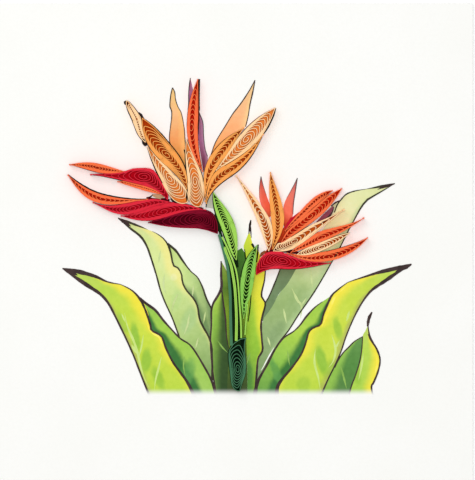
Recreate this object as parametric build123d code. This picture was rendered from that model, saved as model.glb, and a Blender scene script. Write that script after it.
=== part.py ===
from build123d import *
import math
import os

# Quilled paper art. A square card carries a printed plant with broad leaves, and its two flowers and its stem
# are built up from paper strips that are rolled, pinched and glued down on edge.
# Millimetres. The card lies flat with its back on Z = 0, X runs to the right and Y up the picture, and the
# origin is the middle of the back.

# The card
card_side = 152.0
card_thickness = 1.0

# The print is laid down in layers, each a thin film of one group of colours
ink_layer = 0.02
ink_layers = 6
leaf_foot = -48.1
broad_rim = 2.1
narrow_rim = 1.3

# Widths of the printed outlines
hairline = 0.3
fine_line = 0.4
thin_line = 0.5
plain_line = 0.65
bold_line = 0.85
heavy_line = 1.0

# The paper strips stand on edge on the glue, which is as deep as the print
strip_width = 3.0
paper = 0.2
glue_gap = 0.12

# The winding of a coil: its turns lie at least a pitch apart where it is narrowest, and fill a share of that.
# The first turn is tucked under the strip's start by some papers. The middle keeps a share of the width from
# either wall, and the innermost turns have fewer corners.
turn_pitch = 0.40
heart_radius = 0.45
heart_share = 0.33
tucked_papers = 1.7
filled_share = 0.65
nearest_wall = 0.38
least_share = 0.1
inner_turns = 2
crease_width = 0.05

# The stem's single strips
stem_paper = 0.3
edge_strip_layers = 0.75
loop_opening = 0.3


# Corners of the outer wall, as angles round a coil, which stand closer at its middle than at its tips
quarter_angles = [math.radians(a) for a in (0, 30, 52, 71)]
facet_angles = []
for quadrant in range(4):
    mirrored = [0] + [math.pi / 2 - a for a in quarter_angles[:0:-1]]
    facet_angles += [quadrant * math.pi / 2 + a for a in (mirrored if quadrant % 2 else quarter_angles)]
corner_count = len(facet_angles)


class Coil:
    """One rolled strip, pinched at the tip and at the end.

    left and right are the half widths half way to the tip, at the heart and half way to the end, seen along the
    way from the end to the tip. lean turns the coil's axis at the heart, in degrees. pinch is 1 for a point and
    0 for a round end, at the tip and at the end.
    """

    def __init__(self, tip, heart, end, left, right, lean=0, pinch=(1, 1)):
        self.tip, self.heart, self.end = tip, heart, end
        self.left, self.right, self.pinch = left, right, pinch
        self.to_tip = math.dist(tip, heart)
        self.to_end = math.dist(end, heart)
        heading = math.atan2(tip[1] - end[1], tip[0] - end[0]) + math.radians(lean)
        self.along = (math.cos(heading), math.sin(heading))
        self.free = [1.0] * corner_count

    def axis(self, u):
        """The point of the bent axis at the distance u from the heart, and the direction square to it."""
        arm, far = (self.to_tip, self.tip) if u > 0 else (-self.to_end, self.end)
        share = u / arm
        bend = [far[i] - self.heart[i] - arm * self.along[i] for i in (0, 1)]
        point = [self.heart[i] + u * self.along[i] + share * share * bend[i] for i in (0, 1)]
        slope = [self.along[i] + 2 * share * bend[i] / arm for i in (0, 1)]
        length = math.hypot(*slope)
        return point, (-slope[1] / length, slope[0] / length)

    def half_width(self, angle):
        """The outer wall's distance from the axis, by the angle round the coil, which is 0 at the tip."""
        cos, sin = math.cos(angle), math.sin(angle)
        near, middle, back = self.left if sin > 0 else self.right
        quarter = 0.75
        near = near / quarter ** ((1 + self.pinch[0]) / 2)
        back = back / quarter ** ((1 + self.pinch[1]) / 2)
        power = 1 + (self.pinch[0] if cos > 0 else self.pinch[1])
        swell = middle + (near - back) * cos + 2 * (near + back - 2 * middle) * cos * cos
        return math.copysign(abs(sin) ** power * swell, sin)

    def distance_out(self, angle):
        """How far along the axis the outer wall's point at this angle lies, counted from the heart."""
        return (self.to_tip if math.cos(angle) > 0 else self.to_end) * math.cos(angle)

    def outline(self):
        """The corners of the outer wall, from the tip round the left side to the end and back on the right."""
        corners = []
        for free, angle in zip(self.free, facet_angles):
            foot, across = self.axis(self.distance_out(angle))
            corners.append([foot[k] + free * self.half_width(angle) * across[k] for k in (0, 1)])
        return corners

    def press_against(self, laid):
        """Flattens the sides where pieces that are already glued down leave less room than the coil needs."""
        looks = 8
        for i, angle in enumerate(facet_angles):
            for neighbour in (facet_angles[i - 1], facet_angles[(i + 1) % corner_count]):
                span = (neighbour - angle + math.pi) % (2 * math.pi) - math.pi
                for k in range(looks + 1):
                    looked_at = angle + span * k / looks
                    v = self.half_width(looked_at)
                    if abs(v) < glue_gap:
                        continue
                    foot, across = self.axis(self.distance_out(looked_at))
                    toward = [a * math.copysign(1, v) for a in across]
                    room = distance_to(foot, toward, laid, abs(v) + glue_gap) - glue_gap
                    self.free[i] = min(self.free[i], max(least_share, room / abs(v)))

    def ribbon(self):
        """The wound strip seen from above: its outer face inwards to the heart, and its inner face back out.

        The strip closes one whole turn, slips in under its own start and then winds inwards to the heart. The
        middle line, which the winding closes in on, runs through the heart but keeps clear of both walls.
        """
        corners = self.outline()
        start = corner_count // 4
        left, right = corners[start], corners[-start]
        width = math.dist(left, right)
        share = min(1 - nearest_wall, max(nearest_wall, math.dist(left, self.heart) / width))
        half = corner_count // 2
        middles = [between(corners[i], corners[-i], share) for i in range(half + 1)]
        side = [(left[k] - right[k]) / width for k in (0, 1)]
        slack = width * min(share, 1 - share)
        heart = min(heart_radius, heart_share * slack)
        tuck = tucked_papers * paper / slack
        turns = max(2, 1 + int((slack * (1 - tuck) - heart) / turn_pitch))

        def depth_at(past):
            if past < 1:
                return tuck * max(0, 1 - (1 - past) * 4)
            return tuck + (1 - tuck) * (past - 1) / (turns - 1)

        passed = []
        for turn in range(turns):
            step = 1 if turn == 0 or turn < turns - inner_turns else 2
            passed += [turn + i / corner_count for i in range(0, corner_count, step)]
        outer, cores, papers = [], [], []
        for past in passed + [turns]:
            depth = depth_at(past)
            i = (start + round(past * corner_count)) % corner_count
            angle = facet_angles[i]
            u = self.distance_out(angle) * (1 - depth) + heart * math.cos(angle) * depth
            core = self.middle_at(middles, u)
            own = middles[min(i, corner_count - i)]
            outer.append([
                core[k] + (corners[i][k] - own[k]) * (1 - depth) + side[k] * heart * math.sin(angle) * depth
                for k in (0, 1)
            ])
            cores.append(core)
            spacing = math.dist(corners[i], own) * (min(1, depth_at(past + 1)) - depth)
            papers.append(paper if past > turns - 1 else min(paper, filled_share * spacing))
        return outer + inner_face(outer, cores, papers)[::-1]

    def middle_at(self, middles, u):
        """The point of the middle line at the distance u from the heart, straight between its corners."""
        stations = [self.distance_out(angle) for angle in facet_angles[:len(middles)]]
        i = max(k for k in range(len(middles) - 1) if k == 0 or u < stations[k])
        return between(middles[i], middles[i + 1], (stations[i] - u) / (stations[i] - stations[i + 1]))


def between(a, b, share):
    return [a[k] * (1 - share) + b[k] * share for k in (0, 1)]


def inner_face(outer, cores, papers):
    """The strip's other face, one paper nearer the middle line, and creased at the points of the coil."""
    inner = []
    for i, (point, core) in enumerate(zip(outer, cores)):
        gap = math.dist(point, core)
        if gap > crease_width:
            inner.append(between(point, core, min(filled_share, papers[i] / gap)))
            continue
        before, after = outer[i - 1], outer[i + 1]
        chord = between(before, after, 0.5)
        depth = math.dist(point, chord)
        slant = max(math.dist(point, before), math.dist(point, after)) / (math.dist(before, after) / 2)
        inner.append(between(point, chord, min(filled_share, paper * slant / depth)))
    return inner


def distance_to(point, toward, laid, far):
    """How far a line from the point runs before it meets a piece that is already laid."""
    nearest = far
    for outline in laid:
        for a, b in zip(outline, outline[1:] + outline[:1]):
            edge = (b[0] - a[0], b[1] - a[1])
            turn = toward[0] * edge[1] - toward[1] * edge[0]
            if abs(turn) < 1e-12:
                continue
            gap = (a[0] - point[0], a[1] - point[1])
            ahead = (gap[0] * edge[1] - gap[1] * edge[0]) / turn
            beside = (gap[0] * toward[1] - gap[1] * toward[0]) / turn
            if 0 <= beside <= 1 and 0 < ahead < nearest:
                nearest = ahead
    return nearest


def offset(line, distances):
    """The line moved sideways, to the left of the way it runs, by one distance at each point."""
    moved = []
    for i, (x, y) in enumerate(line):
        before, after = line[max(0, i - 1)], line[min(len(line) - 1, i + 1)]
        dx, dy = after[0] - before[0], after[1] - before[1]
        length = math.hypot(dx, dy)
        moved.append((x - dy / length * distances[i], y + dx / length * distances[i]))
    return moved


def stroke(line, start, middle, end):
    """A band along a line, whose width changes from its start over its middle to its end."""
    half = []
    for i in range(len(line)):
        way = 2 * i / (len(line) - 1)
        width = start + (middle - start) * way if way < 1 else middle + (end - middle) * (way - 1)
        half.append(width / 2)
    return offset(line, half) + offset(line, [-h for h in half])[::-1]


def rim(line, widest):
    """A band on the right-hand side of a line that tapers to nothing at both ends."""
    inward = [-widest * math.sin(math.pi * i / (len(line) - 1)) for i in range(len(line))]
    return line + offset(line, inward)[-2:0:-1]


def solid(outline, height, base):
    face = make_face(Polyline([(x, y) for x, y in outline], close=True))
    return Pos(0, 0, base) * extrude(face, height)


def save(shape, name):
    export_step(shape, f"parts/{name}.step")


# Flower on the left: the petals from the middle outwards, then the bracts from the top down
left_flower = {
    "red_spike_petal": Coil(
        (-11.6, 51.7), (-13.6, 36.7), (-10.0, 22.1), (1.3, 1.5, 0.9), (1.5, 2.0, 1.5), -5
    ),
    "left_petal_upper": Coil(
        (-29.1, 39.4), (-21.6, 27.6), (-15.1, 16.6), (1.9, 2.6, 1.5), (2.6, 2.8, 2.2), 10
    ),
    "left_petal_lower": Coil(
        (-27.7, 30.3), (-20.8, 20.0), (-14.8, 12.3), (1.7, 2.8, 3.2), (1.0, 1.9, 2.3), 0, (1, 0.2)
    ),
    "left_petal_tip": Coil(
        (-34.2, 44.9), (-31.0, 39.0), (-28.2, 31.5), (1.6, 1.8, 1.9), (1.3, 1.5, 1.3), 5, (0.3, 1)
    ),
    "centre_petal": Coil(
        (-15.2, 32.7), (-12.5, 19.8), (-11.2, 11.0), (1.8, 2.5, 2.9), (1.4, 2.5, 2.2), 0, (1, 0.1)
    ),
    "right_petal_inner": Coil((3.1, 36.2), (-5.5, 26.5), (-9.2, 12.6), (1.7, 2.2, 1.3), (1.4, 1.8, 0.9), -7),
    "right_petal_outer": Coil(
        (12.8, 42.3), (3.7, 32.7), (-6.3, 21.9), (2.1, 2.4, 1.1), (2.3, 2.9, 1.3), 0, (0.7, 1)
    ),
    "right_petal_lower": Coil(
        (9.3, 34.3), (-1.8, 22.5), (-8.9, 12.0), (1.3, 2.2, 1.5), (1.2, 1.7, 0.8), -15
    ),
    "upper_bract_tip": Coil(
        (-52.5, 24.5), (-43.6, 23.6), (-34.7, 22.3), (1.0, 1.5, 1.1), (0.9, 1.3, 0.9), -5
    ),
    "upper_bract_petal": Coil(
        (-45.8, 21.3), (-29.3, 20.4), (-21.2, 13.2), (1.1, 2.2, 1.6), (1.3, 2.6, 1.9), 8
    ),
    "upper_bract_underside": Coil(
        (-37.2, 18.9), (-29.9, 16.8), (-23.0, 14.8), (0.6, 0.7, 0.6), (0.6, 0.8, 0.7)
    ),
    "long_bract_tip": Coil((-53.0, 21.3), (-42.0, 13.6), (-27.4, 13.5), (1.1, 1.6, 0.6), (1.2, 1.3, 0.8), 5),
    "long_bract_middle": Coil(
        (-45.0, 12.5), (-32.5, 10.6), (-19.1, 12.3), (0.8, 1.7, 1.0), (1.5, 2.2, 1.5), 20
    ),
    "long_bract_lower": Coil((-36.1, 8.2), (-22.6, 9.5), (-8.9, 10.0), (1.4, 1.9, 1.2), (1.6, 2.4, 1.2), 15),
    "bract_base": Coil((-27.4, 6.1), (-12.1, 7.1), (-5.4, 2.5), (1.7, 2.7, 2.6), (1.7, 3.2, 2.8), 15),
}

# Flower on the right: two upright petals, the fan from the top down, then the bract below it
right_flower = {
    "small_left_petal": Coil((0.5, 21.1), (8.2, 8.4), (10.9, -3.1), (0.9, 1.5, 1.3), (1.0, 1.7, 1.2), 5),
    "small_upright_petal": Coil(
        (11.5, 22.2), (13.6, 9.3), (12.2, -2.5), (1.5, 2.2, 2.0), (1.4, 2.0, 1.2), 10
    ),
    "small_fan_petal_1": Coil((31.3, 16.3), (24.0, 11.4), (16.0, 3.3), (1.1, 1.1, 0.8), (0.9, 0.9, 0.6), 5),
    "small_fan_petal_2": Coil(
        (34.3, 17.0), (21.9, 6.3), (14.7, -0.7), (1.5, 1.5, 1.0), (1.5, 1.9, 1.2), -10
    ),
    "small_fan_petal_3": Coil((35.1, 10.3), (19.8, 0.4), (12.3, -3.0), (1.1, 2.4, 1.8), (1.0, 1.9, 1.4)),
    "small_fan_petal_4": Coil((41.3, 7.6), (27.5, 1.2), (17.8, -3.5), (0.9, 1.6, 0.8), (0.8, 1.2, 1.1), -5),
    "small_fan_petal_5": Coil((36.7, 2.8), (27.5, -1.8), (19.8, -4.1), (1.0, 1.2, 1.0), (0.8, 1.0, 0.9)),
    "small_fan_petal_6": Coil((42.5, 1.3), (28.1, -5.2), (16.6, -3.6), (1.1, 1.3, 0.8), (1.2, 1.4, 0.8)),
    "small_bract": Coil((30.7, -6.8), (15.0, -6.6), (7.1, -10.6), (0.8, 3.1, 3.2), (2.2, 2.5, 1.5), -10),
}

# Coils of the stem: two bud leaves and the drop at the foot
stem_coils = {
    "upper_bud_leaf": Coil((-6.6, 15.7), (-2.8, 5.8), (0.7, -5.8), (1.6, 2.0, 1.4), (1.5, 2.2, 1.5), 5),
    "lower_bud_leaf": Coil((6.6, -1.5), (4.0, -11.4), (2.8, -24.5), (1.9, 2.1, 1.2), (1.5, 1.4, 1.0)),
    "stem_base_coil": Coil(
        (3.8, -30.4), (1.1, -40.8), (1.6, -47.5), (3.1, 2.7, 1.6), (2.4, 2.5, 1.8), 15, (1.7, 1)
    ),
}

# Middle lines of the stem's strips, from the flower down
edge_line = [
    (-4.8, 1.7), (-4.1, -0.9), (-3.3, -3.4), (-2.5, -6.6), (-1.9, -9.8), (-1.5, -13.0), (-1.3, -16.2),
    (-1.2, -20.3), (-1.2, -25.1), (-1.2, -32.9),
]
loop_line = [
    (-2.8, -1.9), (-2.2, -3.8), (-1.1, -6.7), (-0.3, -10.0), (0.2, -14.0), (0.4, -18.7), (0.6, -25.1),
    (0.6, -31.5),
]
long_line = [
    (-4.0, 1.5), (-3.0, 0.1), (-1.7, -2.0), (-0.6, -4.1), (0.3, -6.6), (0.9, -9.5), (1.3, -13.3),
    (1.5, -17.5), (1.7, -23.5), (1.9, -30.6),
]
short_line = [(4.2, -19.7), (3.9, -23.5), (3.6, -26.7), (3.4, -29.6)]


def folded_strip(line):
    """One strip folded back on itself round a small loop at its upper end."""
    side = [(loop_opening + stem_paper) / 2] * len(line)
    down = offset(line, side)
    up = offset(line, [-s for s in side])[::-1]
    top, radius = line[0], side[0]
    dx, dy = line[0][0] - line[1][0], line[0][1] - line[1][1]
    heading = math.atan2(dy, dx)
    arc_facets = 4
    bow = []
    for i in range(1, arc_facets):
        angle = heading - math.pi / 2 + math.pi * i / arc_facets
        bow.append((top[0] + radius * math.cos(angle), top[1] + radius * math.sin(angle)))
    if math.dist(up[-1], bow[-1]) < math.dist(up[-1], bow[0]):
        bow.reverse()
    return stroke(up + bow + down, stem_paper, stem_paper, stem_paper)


stem_strips = {
    "stem_edge_strip": stroke(edge_line, edge_strip_layers, edge_strip_layers, edge_strip_layers),
    "stem_loop_strip": folded_strip(loop_line),
    "stem_long_strip": stroke(long_line, stem_paper, stem_paper, stem_paper),
    "stem_short_strip": stroke(short_line, stem_paper, stem_paper, stem_paper),
}

# The printed leaves. Each line runs from the leaf's tip to its foot.
far_left_top = [(-54.8, -8.5), (-49.0, -9.7), (-44.2, -11.1), (-40.4, -12.8), (-36.3, -13.6), (-32.8, -15.4)]
far_left_fold = [
    (-30.2, -18.1), (-28.3, -21.9), (-26.7, -26.7), (-26.4, -28.3), (-24.2, -29.4), (-22.9, -30.7),
    (-21.9, -33.7), (-19.7, -38.2), (-17.2, -41.7), (-14.9, -44.9), (-12.7, leaf_foot),
]
far_left_bottom = [
    (-54.8, -8.5), (-50.6, -11.4), (-45.8, -14.6), (-42.7, -16.7), (-40.1, -19.7), (-37.6, -24.5),
    (-34.7, -30.5), (-32.1, -36.3), (-29.9, -42.0), (-27.0, leaf_foot),
]
far_left_back = [
    (-30.2, -18.1), (-27.7, -20.0), (-25.1, -21.9), (-22.6, -25.1), (-19.7, -28.3), (-17.2, -30.9),
    (-14.6, -32.5), (-12.7, -34.7), (-9.8, -39.5), (-7.3, -44.2), (-5.7, leaf_foot),
]
upper_left_top = [(-37.1, 7.6), (-33.1, 6.0), (-28.9, 4.4), (-25.1, 2.8), (-22.9, 1.3)]
upper_left_fold = [
    (-21.3, -0.7), (-20.3, -3.4), (-19.7, -6.6), (-19.1, -7.9), (-17.8, -8.5), (-16.8, -10.5),
    (-16.5, -13.0), (-15.2, -15.6), (-13.0, -18.1), (-11.7, -20.7), (-11.1, -24.5), (-9.8, -27.4),
    (-8.2, -30.2), (-7.3, -33.1),
]
upper_left_bottom = [
    (-37.1, 7.6), (-33.1, 4.2), (-29.9, 1.7), (-28.0, -1.2), (-26.7, -4.7), (-24.8, -10.8),
    (-23.5, -15.6), (-21.9, -19.7), (-19.7, -24.5), (-17.5, -30.5),
]
upper_left_back = [
    (-21.3, -0.7), (-18.7, -2.8), (-16.5, -6.0), (-14.9, -8.2), (-13.6, -9.7), (-11.7, -11.4),
    (-10.1, -14.6), (-8.9, -18.1), (-7.3, -21.3),
]
centre_left_edge = [
    (-4.2, -6.2), (-4.2, -10.8), (-4.1, -14.6), (-5.4, -17.5), (-6.6, -19.4), (-7.3, -21.9),
    (-7.3, -26.7), (-7.6, -31.5), (-7.1, -39.5), (-6.5, -44.2), (-5.7, leaf_foot),
]
centre_left_rib = [(-4.1, -14.6), (-3.6, -18.7), (-2.8, -24.5), (-2.5, -29.9), (-1.8, -34.0)]
centre_left_inner = [
    (-4.1, -14.6), (-4.6, -18.7), (-5.2, -23.5), (-5.5, -28.3), (-5.4, -33.1), (-4.7, -39.5),
    (-4.1, leaf_foot),
]
centre_right_edge = [
    (9.9, -9.2), (9.6, -12.4), (8.7, -16.2), (8.8, -17.8), (9.9, -19.7), (9.0, -23.5), (8.5, -26.7),
    (8.8, -31.5), (9.0, -34.7), (7.6, -37.2), (7.2, -41.1), (6.9, -44.9), (6.4, leaf_foot),
]
centre_right_inner = [
    (4.8, 3.3), (3.6, 0.4), (2.9, -1.8), (3.6, -5.0), (2.6, -9.2), (2.1, -12.4), (2.6, -18.7),
    (3.9, -33.1), (4.2, leaf_foot),
]
centre_right_top = [(5.2, 1.7), (5.8, -0.6), (6.4, -2.2), (7.7, -2.8), (8.9, -6.6)]
centre_spike = [(5.3, 6.9), (4.9, 4.8), (4.6, 2.4)]
centre_behind = [
    (-4.2, -6.6), (-2.5, -9.2), (-0.6, -6.6), (1.0, -2.8), (3.3, -1.5), (3.9, -5.4), (2.6, -10.8),
    (2.9, -18.7), (3.9, -33.1), (4.2, leaf_foot), (-5.7, leaf_foot), (-5.5, -28.3), (-4.6, -18.7),
    (-4.1, -14.6),
]
grey_top = [
    (51.2, 18.6), (46.6, 17.6), (42.1, 16.8), (38.6, 16.2), (35.8, 15.2), (34.2, 13.6), (32.9, 11.9),
    (31.9, 9.3),
]
grey_bottom = [
    (51.2, 18.6), (47.9, 16.6), (44.1, 14.4), (42.1, 13.1), (40.2, 10.6), (38.3, 7.1), (37.0, 4.8),
    (34.8, 0.4), (33.2, -2.8), (31.0, -6.6), (28.8, -10.5), (26.2, -14.9), (23.7, -18.7), (20.5, -23.2),
    (17.3, -28.3), (14.7, -31.5), (12.2, -35.3), (9.6, -40.4), (7.1, -45.5),
]
grey_fold = [
    (19.8, -8.5), (18.2, -11.4), (16.3, -14.3), (14.1, -16.8), (12.5, -20.0), (10.6, -22.9),
    (9.0, -25.4),
]
grey_back = [(14.7, -8.5), (13.5, -11.7), (12.2, -14.9), (10.9, -17.8), (9.9, -19.7)]
right_top = [
    (56.5, -7.1), (51.4, -8.5), (46.0, -9.8), (41.8, -11.1), (38.6, -12.1), (36.1, -13.0),
    (33.9, -14.6), (32.3, -15.9),
]
right_fold = [
    (31.0, -17.2), (29.7, -20.0), (28.4, -23.2), (27.5, -26.4), (25.2, -27.4), (23.7, -28.9),
    (22.7, -32.5), (21.1, -36.3), (17.9, -40.7), (15.4, -43.6), (13.8, -46.2), (13.5, leaf_foot),
]
right_bottom = [
    (56.5, -7.1), (52.0, -9.8), (48.2, -12.4), (44.1, -15.2), (41.8, -17.8), (39.6, -21.3),
    (37.4, -25.8), (35.5, -30.5), (33.9, -35.3), (31.9, -39.8), (30.0, -43.6), (27.5, leaf_foot),
]
right_back = [
    (31.0, -17.2), (28.1, -19.1), (25.6, -21.0), (23.0, -23.8), (21.1, -26.4), (18.9, -28.6),
    (16.3, -30.2), (14.7, -31.8), (12.8, -34.7), (10.9, -38.5), (9.0, -41.7), (7.4, -44.9),
    (6.4, leaf_foot),
]
small_spike = [(43.6, -22.3), (42.5, -24.5), (42.6, -26.7)]
small_left = [(40.9, -30.2), (38.3, -31.8), (36.4, -33.7), (34.8, -35.3), (33.2, -37.6), (31.9, -40.1)]
small_fold = [(40.9, -30.2), (40.6, -34.7), (39.9, -38.5), (38.6, -42.7), (37.4, -45.8), (36.4, leaf_foot)]
small_right = [
    (42.6, -26.7), (43.1, -29.9), (44.1, -32.1), (45.3, -34.0), (46.3, -36.6), (46.4, -38.8),
    (45.7, -41.7), (44.4, -44.9), (43.7, -46.2), (44.2, leaf_foot),
]

# The printed petals behind the two flowers, each as its outline
peach_top = [
    (-19.5, 49.2), (-18.4, 47.2), (-17.8, 43.7), (-16.5, 41.8), (-15.9, 39.6), (-15.4, 36.1),
    (-15.2, 32.3), (-15.9, 26.5), (-20.8, 31.6), (-20.5, 33.9), (-20.0, 37.0), (-19.7, 40.6),
    (-20.4, 42.5), (-20.3, 46.6),
]
peach_side = [
    (6.6, 51.5), (6.0, 48.2), (5.0, 43.7), (4.4, 39.9), (3.6, 36.7), (-7.4, 27.8), (-6.3, 31.0),
    (-5.0, 33.5), (-2.8, 37.0), (-0.6, 40.6), (2.3, 44.4), (4.8, 48.2),
]
purple_tip = [(-14.0, 52.2), (-14.4, 49.5), (-14.8, 46.0), (-14.3, 45.0), (-13.3, 47.6), (-13.5, 50.1)]
purple_side = [
    (-11.6, 42.5), (-11.1, 40.9), (-10.0, 38.0), (-9.8, 33.9), (-9.3, 29.7), (-8.5, 27.2), (-9.0, 24.9),
    (-9.8, 22.1), (-11.6, 33.9),
]
red_left = [
    (8.5, 20.8), (9.3, 17.6), (10.3, 14.7), (11.4, 11.5), (11.2, 8.0), (9.0, 10.6), (8.0, 13.8),
    (8.0, 17.3),
]
red_right = [
    (20.1, 20.3), (19.5, 16.3), (18.9, 12.2), (18.7, 8.7), (17.3, 5.5), (15.8, 6.1), (15.7, 11.2),
    (16.6, 13.8), (18.6, 17.3),
]

# What is printed, from the lowest layer up: each node with its layer and its outlines
prints = {
    "printed_peach_petals": (0, [peach_top, peach_side]),
    "printed_red_petals": (0, [red_left, red_right]),
    "printed_purple_petals": (0, [purple_tip, purple_side]),
    "printed_grey_leaves": (
        0,
        [upper_left_back + [upper_left_fold[-1]] + upper_left_fold[-2:0:-1], grey_back + grey_fold[::-1]],
    ),
    "printed_pale_leaves": (
        1,
        [
            upper_left_top + upper_left_fold + [far_left_back[-2]] + upper_left_bottom[:0:-1],
            grey_top + grey_fold + grey_bottom[:0:-1],
        ],
    ),
    "printed_dark_leaves": (
        2,
        [
            far_left_back + far_left_fold[:0:-1],
            right_back + right_fold[:0:-1],
            small_left + [right_bottom[-1]] + small_fold[:0:-1],
            centre_behind,
        ],
    ),
    "printed_bright_leaves": (
        3,
        [
            far_left_top + far_left_fold + far_left_bottom[:0:-1],
            right_top + right_fold + right_bottom[:0:-1],
            small_fold + small_right[::-1],
            centre_left_edge[2:] + centre_left_inner[:0:-1],
            centre_right_inner + centre_right_edge[::-1] + centre_right_top[::-1],
        ],
    ),
    "printed_yellow_edges": (
        4,
        [
            rim(far_left_top[1:] + far_left_fold, broad_rim),
            rim(right_fold[::-1] + right_top[:0:-1], broad_rim),
            rim(centre_right_edge, narrow_rim),
            rim(small_right[2:], narrow_rim),
        ],
    ),
    "printed_outlines": (
        5,
        [
            stroke(far_left_top + far_left_fold, thin_line, plain_line, heavy_line),
            stroke(far_left_bottom, thin_line, bold_line, thin_line),
            stroke(far_left_back[1:], plain_line, thin_line, plain_line),
            stroke(upper_left_top + upper_left_fold, fine_line, plain_line, plain_line),
            stroke(upper_left_bottom, fine_line, thin_line, thin_line),
            stroke(upper_left_back[1:], thin_line, fine_line, thin_line),
            stroke(centre_left_edge, hairline, thin_line, plain_line),
            stroke(centre_left_rib, hairline, thin_line, hairline),
            stroke(centre_right_edge, fine_line, plain_line, plain_line),
            stroke(centre_spike, hairline, bold_line, hairline),
            stroke(grey_top, fine_line, thin_line, fine_line),
            stroke(grey_bottom, fine_line, thin_line, thin_line),
            stroke(grey_back, fine_line, thin_line, fine_line),
            stroke(right_top + right_fold, thin_line, plain_line, heavy_line),
            stroke(right_bottom, plain_line, plain_line, plain_line),
            stroke(right_back[1:], plain_line, thin_line, plain_line),
            stroke(small_spike, hairline, plain_line, hairline),
            stroke(small_left, hairline, fine_line, plain_line),
            stroke(small_fold, fine_line, fine_line, plain_line),
            stroke(small_right[1:], hairline, plain_line, fine_line),
        ],
    ),
}


def backing_card():
    return Pos(0, 0, card_thickness / 2) * Box(card_side, card_side, card_thickness)


def printed(layer, outlines):
    """The fields of one layer, joined where they meet."""
    faces = [make_face(Polyline(outline, close=True)) for outline in outlines]
    joined = Sketch() + faces
    return Pos(0, 0, card_thickness + layer * ink_layer) * extrude(joined, ink_layer)


os.makedirs("parts", exist_ok=True)
save(backing_card(), "backing_card")
for name, (layer, outlines) in prints.items():
    save(printed(layer, outlines), name)

seat = card_thickness + ink_layers * ink_layer
laid = []
for name, outline in stem_strips.items():
    save(solid(outline, strip_width, seat), name)
    laid.append(outline)
for name, coil in {**left_flower, **right_flower, **stem_coils}.items():
    coil.press_against(laid)
    laid.append(coil.outline())
    save(solid(coil.ribbon(), strip_width, seat), name)
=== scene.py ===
import math

import bpy
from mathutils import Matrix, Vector, noise


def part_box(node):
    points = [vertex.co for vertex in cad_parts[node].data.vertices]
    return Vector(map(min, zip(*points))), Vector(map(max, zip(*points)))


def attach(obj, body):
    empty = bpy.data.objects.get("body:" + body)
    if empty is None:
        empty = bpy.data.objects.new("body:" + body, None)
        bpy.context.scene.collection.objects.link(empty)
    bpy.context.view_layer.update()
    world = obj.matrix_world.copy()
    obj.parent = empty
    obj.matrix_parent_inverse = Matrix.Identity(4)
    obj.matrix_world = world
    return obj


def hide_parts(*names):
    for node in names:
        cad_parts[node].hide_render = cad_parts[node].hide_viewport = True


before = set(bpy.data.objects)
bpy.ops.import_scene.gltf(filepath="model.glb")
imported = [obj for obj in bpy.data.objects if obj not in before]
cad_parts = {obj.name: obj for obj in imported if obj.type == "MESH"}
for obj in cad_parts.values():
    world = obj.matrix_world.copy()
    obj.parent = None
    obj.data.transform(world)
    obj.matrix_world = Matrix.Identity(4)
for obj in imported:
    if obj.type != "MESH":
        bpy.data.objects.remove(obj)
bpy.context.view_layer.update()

# Quilled paper art: a white card with a printed plant, and paper coils and strips standing on it.
# Points are in millimetres as in the CAD frame, and become metres when a mesh is made.
mm = 0.001

# The card's top and the strips' top edges come from the frame
card_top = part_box("backing_card")[1][2] / mm
coil_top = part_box("centre_petal")[1][2] / mm

# The photograph: its size, the point of the object at its middle, and the millimetres in one of its pixels
px = 0.3188
photo_size = (475, 480)
middle_px = (234.3, 241.7)

# The paper's thickness, the gaps beside it, and how finely the coils are drawn
paper = 0.23
least_paper = 0.03
glue_gap = 0.03
rim_gap = 0.13
near_by = 1
wall_samples = 72
turn_samples = 76
least_samples = 28

# The square of the sine of the angle at a quarter of a coil's length, where its width is given
quarter_sine_squared = 0.75

# How a coil is wound: its heart, the pitch of its turns, and the room they leave
tight_pitch = 0.19
heart_radius = 0.42
heart_share = 0.3
nearest_wall = 0.38
least_share = 0.1
core_share = 0.45
drift_limit = 0.06
first_gap = 0.03
unevenness = 0.3
crowding = 0.5
least_passing = 0.6
passing_power = 0.95
blend = 2
inner_room = 0.8
room_share = 0.82
side_share = 0.8
near_pinch = 0.97

# The form of a turn: how far its rounded ends reach, and how round its corners are
arch_length = 1.25
arch_power = 1.8
arch_share = 0.85
arch_tries = 3
roundness = 0.6
corner_power = 4

# Where the winding starts: a quarter of a turn round, and leaving the wall towards the end of the first turn
start_turn = 0.25
leave_wall = 0.8
leave_rate = 5

# The ink under a coil, darkened as painted shade: how far it is drawn in from the outer wall, and its height
# above the card
least_ground = 0.02
ground_inset = 0.1
ground_reach = 0.99
ground_base = 0.01
ground_depth = 0.09

# How far the top edges of turns and strips lie below the highest, and how fast that changes along them
turn_drop = 0.12
turn_wave = 1.3
strip_drop = 0.06
strip_wave = 0.2


def photo_point(x, y):
    """The place on the card of a point of the photograph."""
    return ((x - middle_px[0]) * px, (middle_px[1] - y) * px)


def points(*pairs):
    """Pixels of the photograph, by their middles, as points on the card."""
    return [photo_point(x + 0.5, y + 0.5) for x, y in pairs]


def between(a, b, share):
    return [a[k] * (1 - share) + b[k] * share for k in (0, 1)]


def clamp(value, low, high):
    return max(low, min(high, value))


def wobble(x, y, z):
    """A smooth variation between -1 and 1."""
    return noise.noise(Vector((x, y, z)))


def offset(line, distances):
    """The line moved sideways, to the left of the way it runs, by one distance at each point."""
    moved = []
    for i, (x, y) in enumerate(line):
        before, after = line[max(0, i - 1)], line[min(len(line) - 1, i + 1)]
        dx, dy = after[0] - before[0], after[1] - before[1]
        length = math.hypot(dx, dy) or 1e-9
        moved.append((x - dy / length * distances[i], y + dx / length * distances[i]))
    return moved


def both_sides(line, distance):
    """The lines at this distance to the left and to the right of a line."""
    return offset(line, [distance] * len(line)), offset(line, [-distance] * len(line))


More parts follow.
